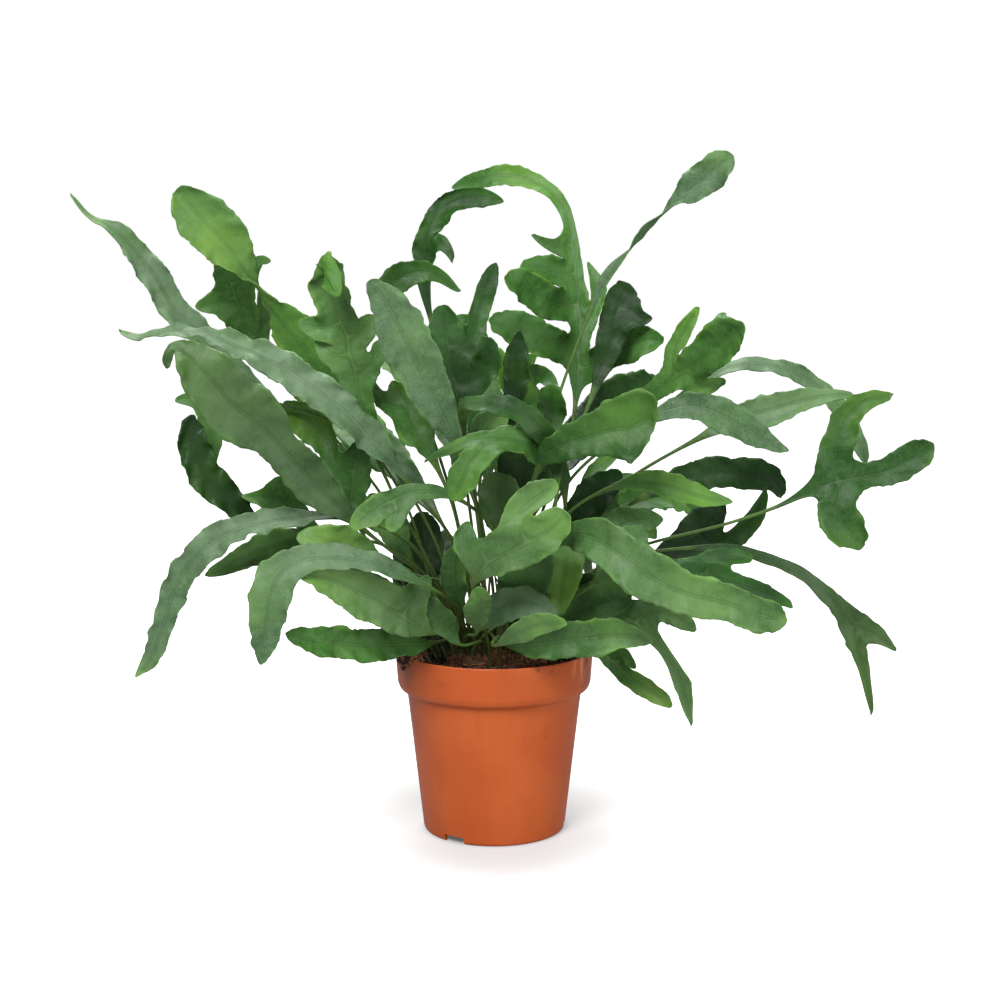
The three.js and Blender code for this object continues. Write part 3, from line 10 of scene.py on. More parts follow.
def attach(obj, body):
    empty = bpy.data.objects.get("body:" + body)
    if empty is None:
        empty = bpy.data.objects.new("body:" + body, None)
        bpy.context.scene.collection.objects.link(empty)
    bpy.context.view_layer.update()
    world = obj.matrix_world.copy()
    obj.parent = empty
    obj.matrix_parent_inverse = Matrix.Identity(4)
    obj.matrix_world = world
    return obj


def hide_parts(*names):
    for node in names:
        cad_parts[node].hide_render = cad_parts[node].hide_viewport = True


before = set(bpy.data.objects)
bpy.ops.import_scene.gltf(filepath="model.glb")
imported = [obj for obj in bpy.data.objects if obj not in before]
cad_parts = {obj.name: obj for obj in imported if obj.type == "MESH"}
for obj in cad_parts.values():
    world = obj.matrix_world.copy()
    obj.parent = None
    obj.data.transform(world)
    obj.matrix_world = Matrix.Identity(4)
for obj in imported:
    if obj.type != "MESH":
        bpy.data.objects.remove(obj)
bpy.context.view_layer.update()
MM = 0.001

# The soil and rhizome, in millimetres, as in the solids. The plant's axis is the pot's.
SOIL_EDGE = 104.5
SOIL_HEAP = 3.0
SOIL_REACH = 51.6
RHIZOME_ARMS = [
    [(-30, -22), (-15, -27), (1, -25), (16, -28), (30, -22)],
    [(0, -25), (5, -9), (1, 8), (7, 25)],
]
FROND_COUNT = 57

# Thickness of the leaf solids at their edge and rib points, and how closely it is met, in metres.
STIPE_MID, STIPE_EDGE, BLADE_MID, BLADE_EDGE = 1.8e-3, 1.1e-3, 1.5e-3, 0.8e-3
THICK_SLACK = 1e-4
PAIR_SLACKS = (4e-6, 2e-5, 6e-5)

# From a stipe's rib point to its edge points, at most, in metres.
STIPE_REACH = 1.6e-3

# How squarely two partner points face each other, and how squarely a face lies across them, at least.
FACING, FLAT = 0.35, -0.1

# Rounds in which the length from the foot spreads over a sheet.
RUN_ROUNDS = 80

# Points nearer than this are one point of the solid, in metres.
WELD = 2e-6

# More than any distance in the part, in metres.
FAR = 9.0

# A sheet with fewer triangles is a scrap.
SMALLEST_SHEET = 12

# The way that a leaf's upper side looks: up and to the front.
UPPER_SIDE = np.array([0, -0.5, 0.85])

# Share by which a blade's edge goes outwards, for what the smoothing takes off it: on the fronds that the
# photo's side shows, and on those at the back and inside.
SPREAD, HIDDEN_SPREAD = 0.07, 0.15

# Fine relief of a blade, in millimetres: (height, noise scale, shift of the seed) for each ripple.
SWELL, SWELL_SCALE = 2.4, 0.045
RIPPLES = ((1.2, 0.1, 0), (0.6, 0.22, 40), (0.2, 0.33, 60))
WAVE, SOFT_WAVE, WAVE_TURN = 1.9, 0.6, 0.36
MARGIN_DRIFT = 1.6
LEAF_THIN, MIDRIB_HIGH, MIDRIB_WIDE, STIPE_THICK = 0.5, 0.8, 0.85, 1.8
FULL_WIDTH = 8.0

# Inner fronds have seeds from this one on.
INNER_SEED = 70

# Fronds by colour. Those in no list are a fresh mid green.
GLAUCOUS = {2, 3, 4, 6, 8, 10, 11, 19, 20, 21, 23, 24, 25, 33, 38, 39, 40, 46, 48, 50, 53, 56}
# Fronds that lie in shade among the others, in a darker green that is painted shade.
SHADED_FRONDS = {12, 13, 17, 26, 34, 35, 36, 41, 44, 45, 52, 55}
# Fronds in a brighter lime green: their own colour, but on frond 7, which hangs turned from the light, it is
# painted light.
LIME = {7, 9, 14, 15, 27, 29, 30, 47}
SAGE = {4, 6, 21, 23, 33, 48, 50, 53, 56}
DIM = {3, 25, 46}
# Fronds in a darker mid green: on frond 16 it is painted shade, on 5 and 18 their own darker tone.
MID = {5, 16, 18}

# Fronds with strongly waved edges, and the last frond that the photo's side shows.
WAVY = {8, 10, 11, 12, 19, 22, 26, 38, 46, 48}
LAST_FRONT = 48


# Leaf shapes
def welded(ob):
    """Points and triangles of a node with its split corners joined again."""
    me = ob.data
    co = np.empty(len(me.vertices) * 3, np.float32)
    me.vertices.foreach_get("co", co)
    co = co.reshape(-1, 3).astype(float)
    me.calc_loop_triangles()
    tri = np.empty(len(me.loop_triangles) * 3, np.int32)
    me.loop_triangles.foreach_get("vertices", tri)
    _, first, inverse = np.unique(
        np.round(co / WELD).astype(np.int64), axis=0, return_index=True, return_inverse=True
    )
    return co[first], inverse.reshape(-1)[tri.reshape(-1, 3)]


def partners(p, f):
    """For each point of a thin leaf solid, the point on its other face, or -1."""
    n = np.zeros_like(p)
    cross = np.cross(p[f[:, 1]] - p[f[:, 0]], p[f[:, 2]] - p[f[:, 0]])
    for k in range(3):
        np.add.at(n, f[:, k], cross)
    n /= np.maximum(1e-12, np.linalg.norm(n, axis=1))[:, None]
    gap = p[:, None] - p[None]
    dist = np.linalg.norm(gap, axis=2)
    np.fill_diagonal(dist, FAR)
    facing = np.einsum("ijk,ik->ij", gap, n) / dist
    pair = np.full(len(p), -1)
    for slack in PAIR_SLACKS:
        for thick in (BLADE_EDGE, STIPE_EDGE, BLADE_MID, STIPE_MID):
            free = pair < 0
            fit = (np.abs(dist - thick) < slack) & (facing > FACING) & free[:, None] & free[None]
            score = np.where(fit, facing + facing.T, -9)
            best = score.argmax(1)
            both = (score.max(1) > 0) & (best[best] == np.arange(len(p)))
            pair[both] = best[both]
    return pair


def sheets(p, f):
    """The leaf sheets half-way between the two faces: list of (points, half normals, triangles)."""
    pair = partners(p, f)
    across = p - p[pair]
    across /= np.maximum(1e-12, np.linalg.norm(across, axis=1))[:, None]
    normal = np.cross(p[f[:, 1]] - p[f[:, 0]], p[f[:, 2]] - p[f[:, 0]])
    normal /= np.maximum(1e-12, np.linalg.norm(normal, axis=1))[:, None]
    flat = np.einsum("ijk,ik->ij", across[f], normal).min(1)
    band = (pair[f] == np.roll(f, 1, axis=1)) | (pair[f] == np.roll(f, -1, axis=1))
    face = (pair[f] >= 0).all(1) & (flat > FLAT) & ~band.any(1)
    parent = np.arange(len(p))
    members = [{v} for v in range(len(p))]

    def find(v):
        while parent[v] != v:
            parent[v] = parent[parent[v]]
            v = parent[v]
        return v

    for k in np.argsort(-flat):
        if not face[k]:
            continue
        roots = list({find(v) for v in f[k]})
        joined = set().union(*(members[r] for r in roots))
        if any(pair[v] in joined for v in joined):
            face[k] = False
            continue
        for r in roots:
            parent[r] = roots[0]
        members[roots[0]] = joined
    keep = f[face]
    group = np.array([find(v) for v in keep[:, 0]])
    out, done = [], set()
    for g in np.unique(group):
        if g in done:
            continue
        tris = keep[group == g]
        mates = [find(v) for v in pair[np.unique(tris)]]
        other = max(set(mates), key=mates.count)
        fresh = other in group and other not in done
        done |= {g, other}
        if len(tris) < SMALLEST_SHEET:
            continue
        cross = np.cross(p[tris[:, 1]] - p[tris[:, 0]], p[tris[:, 2]] - p[tris[:, 0]])
        if fresh and (cross @ UPPER_SIDE).sum() < 0:
            tris = keep[group == other]
        used = np.unique(tris)
        index = np.full(len(p), -1)
        index[used] = np.arange(len(used))
        mate = p[pair[used]]
        out.append(((p[used] + mate) / 2, (p[used] - mate) / 2, index[tris]))
    return out


def grown_down(points, half, tris, drop):
    """Lengthens a stipe that the rhizome's solid has cut, by one ring at its foot."""
    thick = 2 * np.linalg.norm(half, axis=1)
    mids = np.where(np.abs(thick - STIPE_MID) < THICK_SLACK)[0]
    low = mids[points[mids, 2].argmin()]
    edges = np.where(np.abs(thick - STIPE_EDGE) < THICK_SLACK)[0]
    near = edges[np.linalg.norm(points[edges] - points[low], axis=1) < STIPE_REACH]
    if len(near) < 2:
        return points, half, tris
    ring = [near[0], low, near[1]]
    start = len(points)
    points = np.vstack([points, points[ring] - np.array([0, 0, drop])])
    half = np.vstack([half, half[ring]])
    directed = {(a, b) for t in tris for a, b in ((t[0], t[1]), (t[1], t[2]), (t[2], t[0]))}
    more = []
    for k in range(2):
        a, b = ring[k], ring[k + 1]
        c, d = start + k, start + k + 1
        more += [(b, a, c), (b, c, d)] if (a, b) in directed else [(a, b, d), (a, d, c)]
    return points, half, np.vstack([tris, more])


def cage_values(points, half, tris):
    """Per point: rim (0 rib to 1 edge), local half width, length from the foot, and 1 on the stipe."""
    count = len(points)
    seen = {}
    for t in tris:
        for a, b in ((t[0], t[1]), (t[1], t[2]), (t[2], t[0])):
            key = (min(a, b), max(a, b))
            seen[key] = seen.get(key, 0) + 1
    thick = 2 * np.linalg.norm(half, axis=1)
    rib = (np.abs(thick - STIPE_MID) < THICK_SLACK) | (np.abs(thick - BLADE_MID) < THICK_SLACK)
    stipe = (np.abs(thick - STIPE_MID) < THICK_SLACK) | (np.abs(thick - STIPE_EDGE) < THICK_SLACK)
    rim = np.zeros(count)
    for (a, b), n in seen.items():
        if n == 1:
            rim[[a, b]] = 1
    rim[rib] = 0
    width = np.full(count, FAR)
    mate = np.arange(count)
    for a, b in seen:
        if (rim[a] > 0.5) != (rim[b] > 0.5):
            reach = np.linalg.norm(points[a] - points[b])
            for one, two in ((a, b), (b, a)):
                if reach < width[one]:
                    width[one], mate[one] = reach, two
    width[width == FAR] = MM
    ids = np.array(list(seen))
    length = np.linalg.norm(points[ids[:, 0]] - points[ids[:, 1]], axis=1)
    run = np.full(count, FAR)
    run[np.where(stipe)[0][points[stipe, 2].argmin()]] = 0
    for _ in range(RUN_ROUNDS):
        before = run.copy()
        np.minimum.at(run, ids[:, 0], before[ids[:, 1]] + length)
        np.minimum.at(run, ids[:, 1], before[ids[:, 0]] + length)
        if np.allclose(run, before):
            break
    outward = (points - points[mate]) * (rim * (1 - stipe))[:, None]
    return rim, width, run, stipe.astype(float), outward


def quads_from(points, tris, values):
    """Mesh of the sheet with its triangle pairs joined to quads and the values kept as attributes."""
    bm = bmesh.new()
    for name in values:
        bm.verts.layers.float.new(name)
    layers = [bm.verts.layers.float[name] for name in values]
    verts = [bm.verts.new(Vector(q) / MM) for q in points]
    for k, v in enumerate(verts):
        for layer, name in zip(layers, values):
            v[layer] = float(values[name][k])
    for t in tris:
        try:
            bm.faces.new([verts[k] for k in t])
        except ValueError:
            pass
    bmesh.ops.join_triangles(
        bm, faces=bm.faces[:], angle_face_threshold=2.4, angle_shape_threshold=2.6,
        topology_influence=0.0,
    )
    me = bpy.data.meshes.new("cage")
    bm.to_mesh(me)
    bm.free()
    return me


def subdivided(me, levels):
    """The mesh with its faces split and smoothed."""
    ob = bpy.data.objects.new("cage", me)
    bpy.context.scene.collection.objects.link(ob)
    mod = ob.modifiers.new("smooth", "SUBSURF")
    mod.levels = mod.render_levels = levels
    mod.boundary_smooth = "ALL"
    deps = bpy.context.evaluated_depsgraph_get()
    fine = bpy.data.meshes.new_from_object(ob.evaluated_get(deps))
    bpy.data.objects.remove(ob)
    bpy.data.meshes.remove(me)
    return fine


def read_float(me, name):
    out = np.empty(len(me.vertices), np.float32)
    me.attributes[name].data.foreach_get("value", out)
    return out.astype(float)


def smooth_step(low, high, x):
    t = np.clip((x - low) / (high - low), 0, 1)
    return t * t * (3 - 2 * t)


def wander(points, scale, seed):
    """Smooth seeded noise, one value for each point, from about -1 to 1."""
    offset = Vector((seed * 7.31, seed * 3.17, seed * 5.53))
    return np.array([noise.noise(Vector(q) * scale + offset) for q in points])


def read_vectors(me, name):
    out = np.empty(len(me.vertices) * 3, np.float32)
    me.vertices.foreach_get(name, out)
    return out.reshape(-1, 3).astype(float)


def blend(low, high, share):
    return low * (1 - share) + high * share


def waved(co, nor, rim, width, run, blade, seed):
    """The sheet's points with its swells, ripples, edge waves and gutter along the rib."""
    across = rim * width
    grip = blade * smooth_step(2.0, FULL_WIDTH, width)
    drift = [wander(co, 0.14, seed + k) + 0.5 * wander(co, 0.36, seed + k + 5) for k in (11, 12, 13)]
    drift = np.stack(drift, 1)
    drift -= nor * (drift * nor).sum(1)[:, None]
    swell = SWELL * wander(co, SWELL_SCALE, seed + 20)
    ripple = sum(high * wander(co, scale, seed + shift) for high, scale, shift in RIPPLES)
    phase = WAVE_TURN * run + 6 * wander(co, 0.02, seed + 50)
    wave = (WAVE if seed in WAVY else SOFT_WAVE) * np.sin(phase)
    fold = (0.17 + 0.12 * wander(co, 0.015, seed + 30)) * (across - 0.5 * width)
    lift = grip * (swell + fold + wave * rim**2 + ripple * (0.5 + 1.4 * rim**2))
    return co + nor * lift[:, None] + drift * (MARGIN_DRIFT * grip * rim**3)[:, None]


def leaf_thickness(co, rim, width, blade, seed):
    """Thickness at each point, and the share of it that lies above the sheet."""
    across = rim * width
    thin = LEAF_THIN + 0.12 * wander(co, 0.3, seed + 9)
    ribbed = MIDRIB_HIGH * np.exp(-((across / MIDRIB_WIDE) ** 2)) * (0.35 + 0.65 * smooth_step(0, 10, width))
    round_thick = STIPE_THICK * np.sqrt(np.clip(1 - rim**2, 0.02, 1))
    upper = 0.5 - 0.28 * blade * np.exp(-((across / 0.9) ** 2))
    return blend(round_thick, thin + ribbed, blade), upper


def faces_of(me):
    """Point numbers of each face of a mesh."""
    sizes = np.empty(len(me.polygons), np.int32)
    me.polygons.foreach_get("loop_total", sizes)
    loops = np.empty(len(me.loops), np.int32)
    me.loops.foreach_get("vertex_index", loops)
    return np.split(loops, np.cumsum(sizes)[:-1])


def closed_faces(faces, count):
    """Both faces of a leaf and the strip round its edge, with a material slot for each face."""
    directed = {}
    for face in faces:
        for a, b in zip(face, np.roll(face, -1)):
            directed[(a, b)] = True
    border = [(a, b) for a, b in directed if (b, a) not in directed]
    out = [list(face) for face in faces]
    out += [[v + count for v in face[::-1]] for face in faces]
    out += [[b, a, a + count, b + count] for a, b in border]
    return out, [0] * len(faces) + [1] * len(faces) + [0] * len(border)


def fine_frond(points, half, tris, seed, levels):
    """Closed fine leaf from one sheet: smooth outline, waved edge, round stipe, raised midrib."""
    rim, width, run, stipe, outward = cage_values(points, half, tris)
    points = points + (SPREAD if seed <= LAST_FRONT else HIDDEN_SPREAD) * outward
    cage = quads_from(points, tris, {"rim": rim, "wide": width / MM, "run": run / MM, "stipe": stipe})
    me = subdivided(cage, levels)
    co, nor = read_vectors(me, "co"), read_vectors(me, "normal")
    rim, width, run, stipe = (read_float(me, k) for k in ("rim", "wide", "run", "stipe"))
    blade = 1 - smooth_step(0.0, 1.0, stipe)
    co = waved(co, nor, rim, width, run, blade, seed)
    thick, upper = leaf_thickness(co, rim, width, blade, seed)
    top = co + nor * (thick * upper)[:, None]
    low = co - nor * (thick * (1 - upper))[:, None]
    faces, slots = closed_faces(faces_of(me), len(co))
    values = {
        "rim": np.tile(rim, 2),
        "wide": np.tile(width, 2),
        "run": np.tile(run / max(1.0, run.max()), 2),
        "length": np.tile(run, 2),
        "stipe": np.tile(1 - blade, 2),
        "tint": np.full(2 * len(co), (seed * 0.618) % 1.0),
    }
    bpy.data.meshes.remove(me)
    return np.vstack([top, low]) * MM, faces, slots, values


def mesh_piece(name, parts, materials):
    """One object from a list of (points, faces, material slots, values)."""
    verts, faces, slots, values, base = [], [], [], {}, 0
    for v, f, s, val in parts:
        verts.append(v)
        faces += [[k + base for k in face] for face in f]
        slots += s
        for key, data in val.items():
            values.setdefault(key, []).append(data)
        base += len(v)
    me = bpy.data.meshes.new(name)
    me.from_pydata(np.vstack(verts).tolist(), [], faces)
    me.polygons.foreach_set("material_index", np.array(slots, np.int32))
    me.polygons.foreach_set("use_smooth", np.ones(len(faces), bool))
    for key, data in values.items():
        layer = me.attributes.new(key, "FLOAT", "POINT")
        layer.data.foreach_set("value", np.concatenate(data).astype(np.float32))
    me.update()
    ob = bpy.data.objects.new(name, me)
    bpy.context.scene.collection.objects.link(ob)
    for mat in materials:
        ob.data.materials.append(mat)
    return ob


# Materials
def srgb(r, g, b):
    """Linear colour of three values from 0 to 255."""
    shares = [c / 255 for c in (r, g, b)]
    return tuple(((s + 0.055) / 1.055) ** 2.4 if s > 0.0405 else s / 12.92 for s in shares) + (1,)


class Nodes:
    """Short hand for building a node material."""

    def __init__(self, name):
        self.mat = bpy.data.materials.new(name)
        self.mat.use_nodes = True
        self.tree = self.mat.node_tree
        self.bsdf = self.tree.nodes["Principled BSDF"]

    def node(self, kind, **props):
        n = self.tree.nodes.new(kind)
        for key, value in props.items():
            setattr(n, key, value)
        return n

    def put(self, socket, value):
        if isinstance(value, bpy.types.NodeSocket):
            self.tree.links.new(value, socket)
        else:
            socket.default_value = value

    def math(self, op, a, b=0.0, c=0.0, clamp=False):
        n = self.node("ShaderNodeMath", operation=op, use_clamp=clamp)
        for k, v in enumerate((a, b, c)):
            self.put(n.inputs[k], v)
        return n.outputs[0]

    def attr(self, name):
        return self.node("ShaderNodeAttribute", attribute_name=name).outputs["Fac"]

    def where(self):
        return self.node("ShaderNodeTexCoord").outputs["Object"]

    def away_from(self, point):
        """Distance from a point, in metres."""
        n = self.node("ShaderNodeVectorMath", operation="DISTANCE")
        self.put(n.inputs[0], self.where())
        n.inputs[1].default_value = point
        return n.outputs["Value"]

    def noise(self, scale, detail=3.0, rough=0.55, vector=None):
        n = self.node("ShaderNodeTexNoise")
        self.put(n.inputs["Vector"], vector if vector is not None else self.where())
        self.put(n.inputs["Scale"], scale)
        self.put(n.inputs["Detail"], detail)
        self.put(n.inputs["Roughness"], rough)
        return n.outputs["Fac"]

    def ramp(self, value, low, high, out_low=0.0, out_high=1.0):
        n = self.node("ShaderNodeMapRange", interpolation_type="SMOOTHSTEP")
        ends = {"From Min": low, "From Max": high, "To Min": out_low, "To Max": out_high}
        for key, v in {"Value": value, **ends}.items():
            self.put(n.inputs[key], v)
        return n.outputs[0]

    def mix(self, share, a, b):
        n = self.node("ShaderNodeMix", data_type="RGBA")
        self.put(n.inputs[0], share)
        self.put(n.inputs[6], a)
        self.put(n.inputs[7], b)
        return n.outputs[2]

    def bump(self, height, strength, distance):
        n = self.node("ShaderNodeBump")
        self.put(n.inputs["Height"], height)
        self.put(n.inputs["Strength"], strength)
        self.put(n.inputs["Distance"], distance)
        return n.outputs[0]

    def set(self, **values):
        for key, value in values.items():
            self.put(self.bsdf.inputs[key.replace("_", " ")], value)
        return self.mat


# Centre of the painted shade that darkens the leaves inside the crown, and the soiled and the scuffed place
# on the pot's rim, in metres.
PAINTED_SHADE_HEART = (0.0, 0.035, 0.19)
SOILED_RIM = (-0.053, -0.027, 0.107)
SCUFFED_RIM = (0.052, -0.03, 0.108)


def leaf_material(name, main, bloom, shade, tip, rib, under=False):
    """Leaf face: soft blue bloom, fine speckle, thin pale midrib, faint side veins, dark thin stipe, with
    painted shade inside the crown and beside the midrib.
    """
    m = Nodes(name)
    rim, wide, run, tint = m.attr("rim"), m.attr("wide"), m.attr("run"), m.attr("tint")
    length, stipe = m.attr("length"), m.attr("stipe")
    across = m.math("MULTIPLY", rim, wide)

    broad = m.math("MULTIPLY_ADD", m.math("SUBTRACT", tint, 0.5), 0.3, m.noise(19.0, 1.5, 0.5))
    colour = m.mix(m.ramp(broad, 0.3, 0.72), main, bloom)
    colour = m.mix(m.ramp(m.noise(48.0, 2.0, 0.5), 0.35, 0.8, 0.0, 0.45), colour, shade)
    colour = m.mix(m.math("MULTIPLY", m.ramp(tint, 0.0, 0.5, 1.0, 0.0), 0.35), colour, shade)
    speckle = m.noise(900.0, 3.0, 0.7)
    colour = m.mix(m.ramp(speckle, 0.35, 0.75, 0.0, 0.5), colour, bloom)
    mottle = m.noise(230.0, 4.0, 0.65)
    colour = m.mix(m.ramp(mottle, 0.42, 0.66, 0.0, 0.24), colour, bloom)
    colour = m.mix(m.ramp(mottle, 0.5, 0.3, 0.0, 0.24), colour, shade)
    # Painted shade: the leaves darken towards the crown's heart, where the foliage around them shades them.
    colour = m.mix(m.ramp(m.away_from(PAINTED_SHADE_HEART), 0.05, 0.17, 0.75, 0.0), colour, shade)
    young = m.math("MULTIPLY", m.ramp(run, 0.66, 1.0), m.ramp(m.noise(20.0, 1.5), 0.42, 0.62))
    colour = m.mix(m.math("MULTIPLY", young, 0.5), colour, tip)

    slant = m.math("MULTIPLY_ADD", across, -0.85, length)
    wobble = m.math("MULTIPLY_ADD", m.noise(90.0, 3.0), 7.0, slant)
    line = m.math("PINGPONG", m.math("DIVIDE", wobble, 4.6), 0.5)
    side_vein = m.math("MULTIPLY", m.ramp(line, 0.0, 0.06, 1.0, 0.0), m.ramp(rim, 0.55, 0.95, 1.0, 0.0))
    cells = m.node("ShaderNodeTexVoronoi", feature="DISTANCE_TO_EDGE")
    m.put(cells.inputs["Vector"], m.where())
    m.put(cells.inputs["Scale"], 460.0)
    net = m.ramp(cells.outputs["Distance"], 0.0, 0.12, 1.0, 0.0)
    veins = m.math("MAXIMUM", side_vein, m.math("MULTIPLY", net, 0.4))
    colour = m.mix(m.math("MULTIPLY", veins, 0.13 if not under else 0.18), colour, rib)

    # Painted shade in the groove along the midrib: a narrow band there is mixed towards the shade colour.
    rib_groove_shade = m.ramp(across, 0.5, 1.6, 1.0, 0.0)
    colour = m.mix(m.math("MULTIPLY", rib_groove_shade, 0.3), colour, shade)
    rib_width = m.ramp(run, 0.2, 1.0, 0.42, 0.2)
    midrib = m.math("SUBTRACT", 1.0, m.math("DIVIDE", across, rib_width), clamp=True)
    colour = m.mix(m.ramp(midrib, 0.0, 0.8, 0.0, 0.22), colour, rib)
    margin = m.math("MULTIPLY", m.ramp(rim, 0.7, 1.0), m.ramp(m.noise(34.0, 2.0), 0.5, 0.66))
    colour = m.mix(m.math("MULTIPLY", margin, 0.4), colour, tip)
    colour = m.mix(m.ramp(rim, 0.965, 1.0, 0.0, 0.28), colour, tip)

    foot = m.ramp(run, 0.0, 0.45, 1.0, 0.0)
    stalk = m.mix(m.math("MULTIPLY", foot, 0.75), srgb(72, 102, 42), srgb(54, 44, 22))
    stalk = m.mix(m.ramp(m.noise(300.0, 3.0), 0.45, 0.7, 0.0, 0.4), stalk, srgb(36, 44, 18))
    colour = m.mix(m.ramp(stipe, 0.7, 1.0), colour, stalk)

    relief = m.math("ADD", m.math("MULTIPLY", side_vein, 0.12), m.math("MULTIPLY", net, 0.035))
    pucker = m.math("SUBTRACT", m.math("MULTIPLY", m.noise(140.0, 2.0), 0.9), relief)
    rough = m.math("MULTIPLY_ADD", mottle, 0.36, 0.32 if not under else 0.4)
    m.set(Base_Color=colour, Roughness=rough, Normal=m.bump(pucker, 0.5, 0.0008))
    m.bsdf.inputs["Specular IOR Level"].default_value = 0.26
    return m.mat


def leaf_pair(name, main, bloom, shade, tip, rib, under):
    """Materials of a leaf's upper side and of its underside."""
    return [
        leaf_material(name, main, bloom, shade, tip, rib),
        leaf_material(name + "_under", under, main, shade, tip, rib, under=True),
    ]


def pot_material():
    """Moulded plastic: faint streaks up the wall, scuffs, specks and soil marks."""
    m = Nodes("moulded_pot")
    spot = m.where()
    split = m.node("ShaderNodeSeparateXYZ")
    m.put(split.inputs[0], spot)
    up = split.outputs["Z"]
    flow = m.node("ShaderNodeMapping")
    m.put(flow.inputs["Vector"], spot)
    flow.inputs["Scale"].default_value = (1.0, 1.0, 0.12)
    streak = m.noise(160.0, 5.0, 0.6, flow.outputs[0])
    clouds = m.noise(26.0, 4.0, 0.5)
    colour = m.mix(m.ramp(clouds, 0.35, 0.7), srgb(172, 78, 34), srgb(181, 87, 40))
    colour = m.mix(m.ramp(streak, 0.5, 0.8, 0.0, 0.3), colour, srgb(158, 68, 28))
    scuff = m.math("MULTIPLY", m.ramp(m.noise(520.0, 3.0, 0.7), 0.66, 0.78), m.ramp(clouds, 0.45, 0.6))
    colour = m.mix(m.math("MULTIPLY", scuff, 0.35), colour, srgb(204, 134, 98))
    high = m.ramp(up, 0.094, 0.112)
    dirt = m.math("MULTIPLY", m.ramp(m.noise(75.0, 5.0, 0.7), 0.56, 0.68), high)
    low = m.math("MULTIPLY", m.ramp(m.noise(110.0, 5.0, 0.7), 0.6, 0.72), m.ramp(up, 0.0, 0.02, 0.7, 0.0))
    smear = m.ramp(m.away_from(SOILED_RIM), 0.004, 0.016, 1.0, 0.0)
    soiled = m.math("MULTIPLY", smear, m.ramp(streak, 0.34, 0.5))
    speck = m.ramp(m.noise(250.0, 0.0), 0.85, 0.88)
    grime = m.math("MAXIMUM", m.math("MAXIMUM", dirt, low), speck)
    colour = m.mix(m.math("MULTIPLY", soiled, 0.6), colour, srgb(112, 62, 36))
    worn = m.ramp(m.away_from(SCUFFED_RIM), 0.004, 0.014, 1.0, 0.0)
    scratched = m.math("MULTIPLY", worn, m.ramp(streak, 0.5, 0.56))
    colour = m.mix(m.math("MULTIPLY", scratched, 0.5), colour, srgb(212, 140, 100))
    colour = m.mix(m.math("MULTIPLY", grime, 0.7), colour, srgb(70, 44, 28))
    rough = m.math("ADD", m.math("MULTIPLY_ADD", streak, 0.14, 0.38), m.math("MULTIPLY", grime, 0.35))
    fine = m.math("ADD", m.math("MULTIPLY", streak, 0.5), m.math("MULTIPLY", m.noise(900.0, 2.0), 0.5))
    m.bsdf.inputs["Specular IOR Level"].default_value = 0.22
    return m.set(Base_Color=colour, Roughness=rough, Normal=m.bump(fine, 0.12, 0.0004))


def soil_material():
    m = Nodes("peat_soil")
    grain = m.noise(420.0, 6.0, 0.7)
    wet = m.noise(60.0, 3.0)
    colour = m.mix(m.ramp(grain, 0.35, 0.7), srgb(26, 17, 11), srgb(66, 44, 28))
    colour = m.mix(m.ramp(wet, 0.5, 0.7, 0.0, 0.5), colour, srgb(17, 11, 8))
    rough = m.ramp(wet, 0.4, 0.7, 0.95, 0.7)
    return m.set(Base_Color=colour, Roughness=rough, Normal=m.bump(grain, 0.8, 0.0012))


def bark_material(name, dark, light, scale):
    m = Nodes(name)
    grain = m.noise(scale, 5.0, 0.65)
    colour = m.mix(m.ramp(grain, 0.35, 0.68), dark, light)
    rough = m.ramp(grain, 0.3, 0.7, 0.9, 0.7)
    return m.set(Base_Color=colour, Roughness=rough, Normal=m.bump(grain, 0.5, 0.0006))


def floor_material():
    """Pale floor that shows white but for a soft shade round the pot's foot."""
    m = Nodes("pale_floor")
    cloud = m.noise(1.4, 2.0)
    colour = m.mix(m.ramp(cloud, 0.3, 0.7), srgb(172, 171, 170), srgb(169, 169, 169))
    m.set(Base_Color=colour, Roughness=0.6, Emission_Color=(1, 1, 1, 1))
    m.bsdf.inputs["Specular IOR Level"].default_value = 0.1
    reach = m.node("ShaderNodeVectorMath", operation="LENGTH")
    m.put(reach.inputs[0], m.where())
    glow = m.ramp(reach.outputs["Value"], 0.05, 0.17, 0.42, 1.0)
    glow = m.math("MULTIPLY", glow, m.ramp(reach.outputs["Value"], 0.036, 0.047, 0.25, 1.0))
    seen = m.node("ShaderNodeLightPath").outputs["Is Camera Ray"]
    m.put(m.bsdf.inputs["Emission Strength"], m.math("MULTIPLY", seen, glow))
    return m.mat


# Fronds
GREEN = leaf_pair(
    "leaf_green", srgb(46, 96, 28), srgb(76, 120, 56), srgb(22, 60, 14), srgb(110, 158, 46),
    srgb(120, 152, 84), srgb(70, 110, 50),
)
BLUE = leaf_pair(
    "leaf_blue_green", srgb(60, 94, 54), srgb(98, 124, 92), srgb(36, 66, 32), srgb(98, 138, 66),
    srgb(136, 156, 120), srgb(82, 110, 76),
)
GREY = leaf_pair(
    "leaf_sage_green", srgb(52, 92, 40), srgb(86, 118, 68), srgb(30, 66, 22), srgb(110, 156, 64),
    srgb(128, 152, 100), srgb(76, 108, 60),
)
GREY_DARK = leaf_pair(
    "leaf_dim_sage_green", srgb(40, 70, 32), srgb(66, 92, 54), srgb(24, 50, 20), srgb(76, 112, 44),
    srgb(98, 122, 80), srgb(58, 86, 48),
)
# Darker green as painted shade, for the fronds that lie in shade inside and at the back of the plant.
DARK = leaf_pair(
    "leaf_shaded_green", srgb(18, 51, 12), srgb(35, 72, 28), srgb(9, 32, 5), srgb(60, 108, 27),
    srgb(71, 104, 47), srgb(37, 72, 28),
)
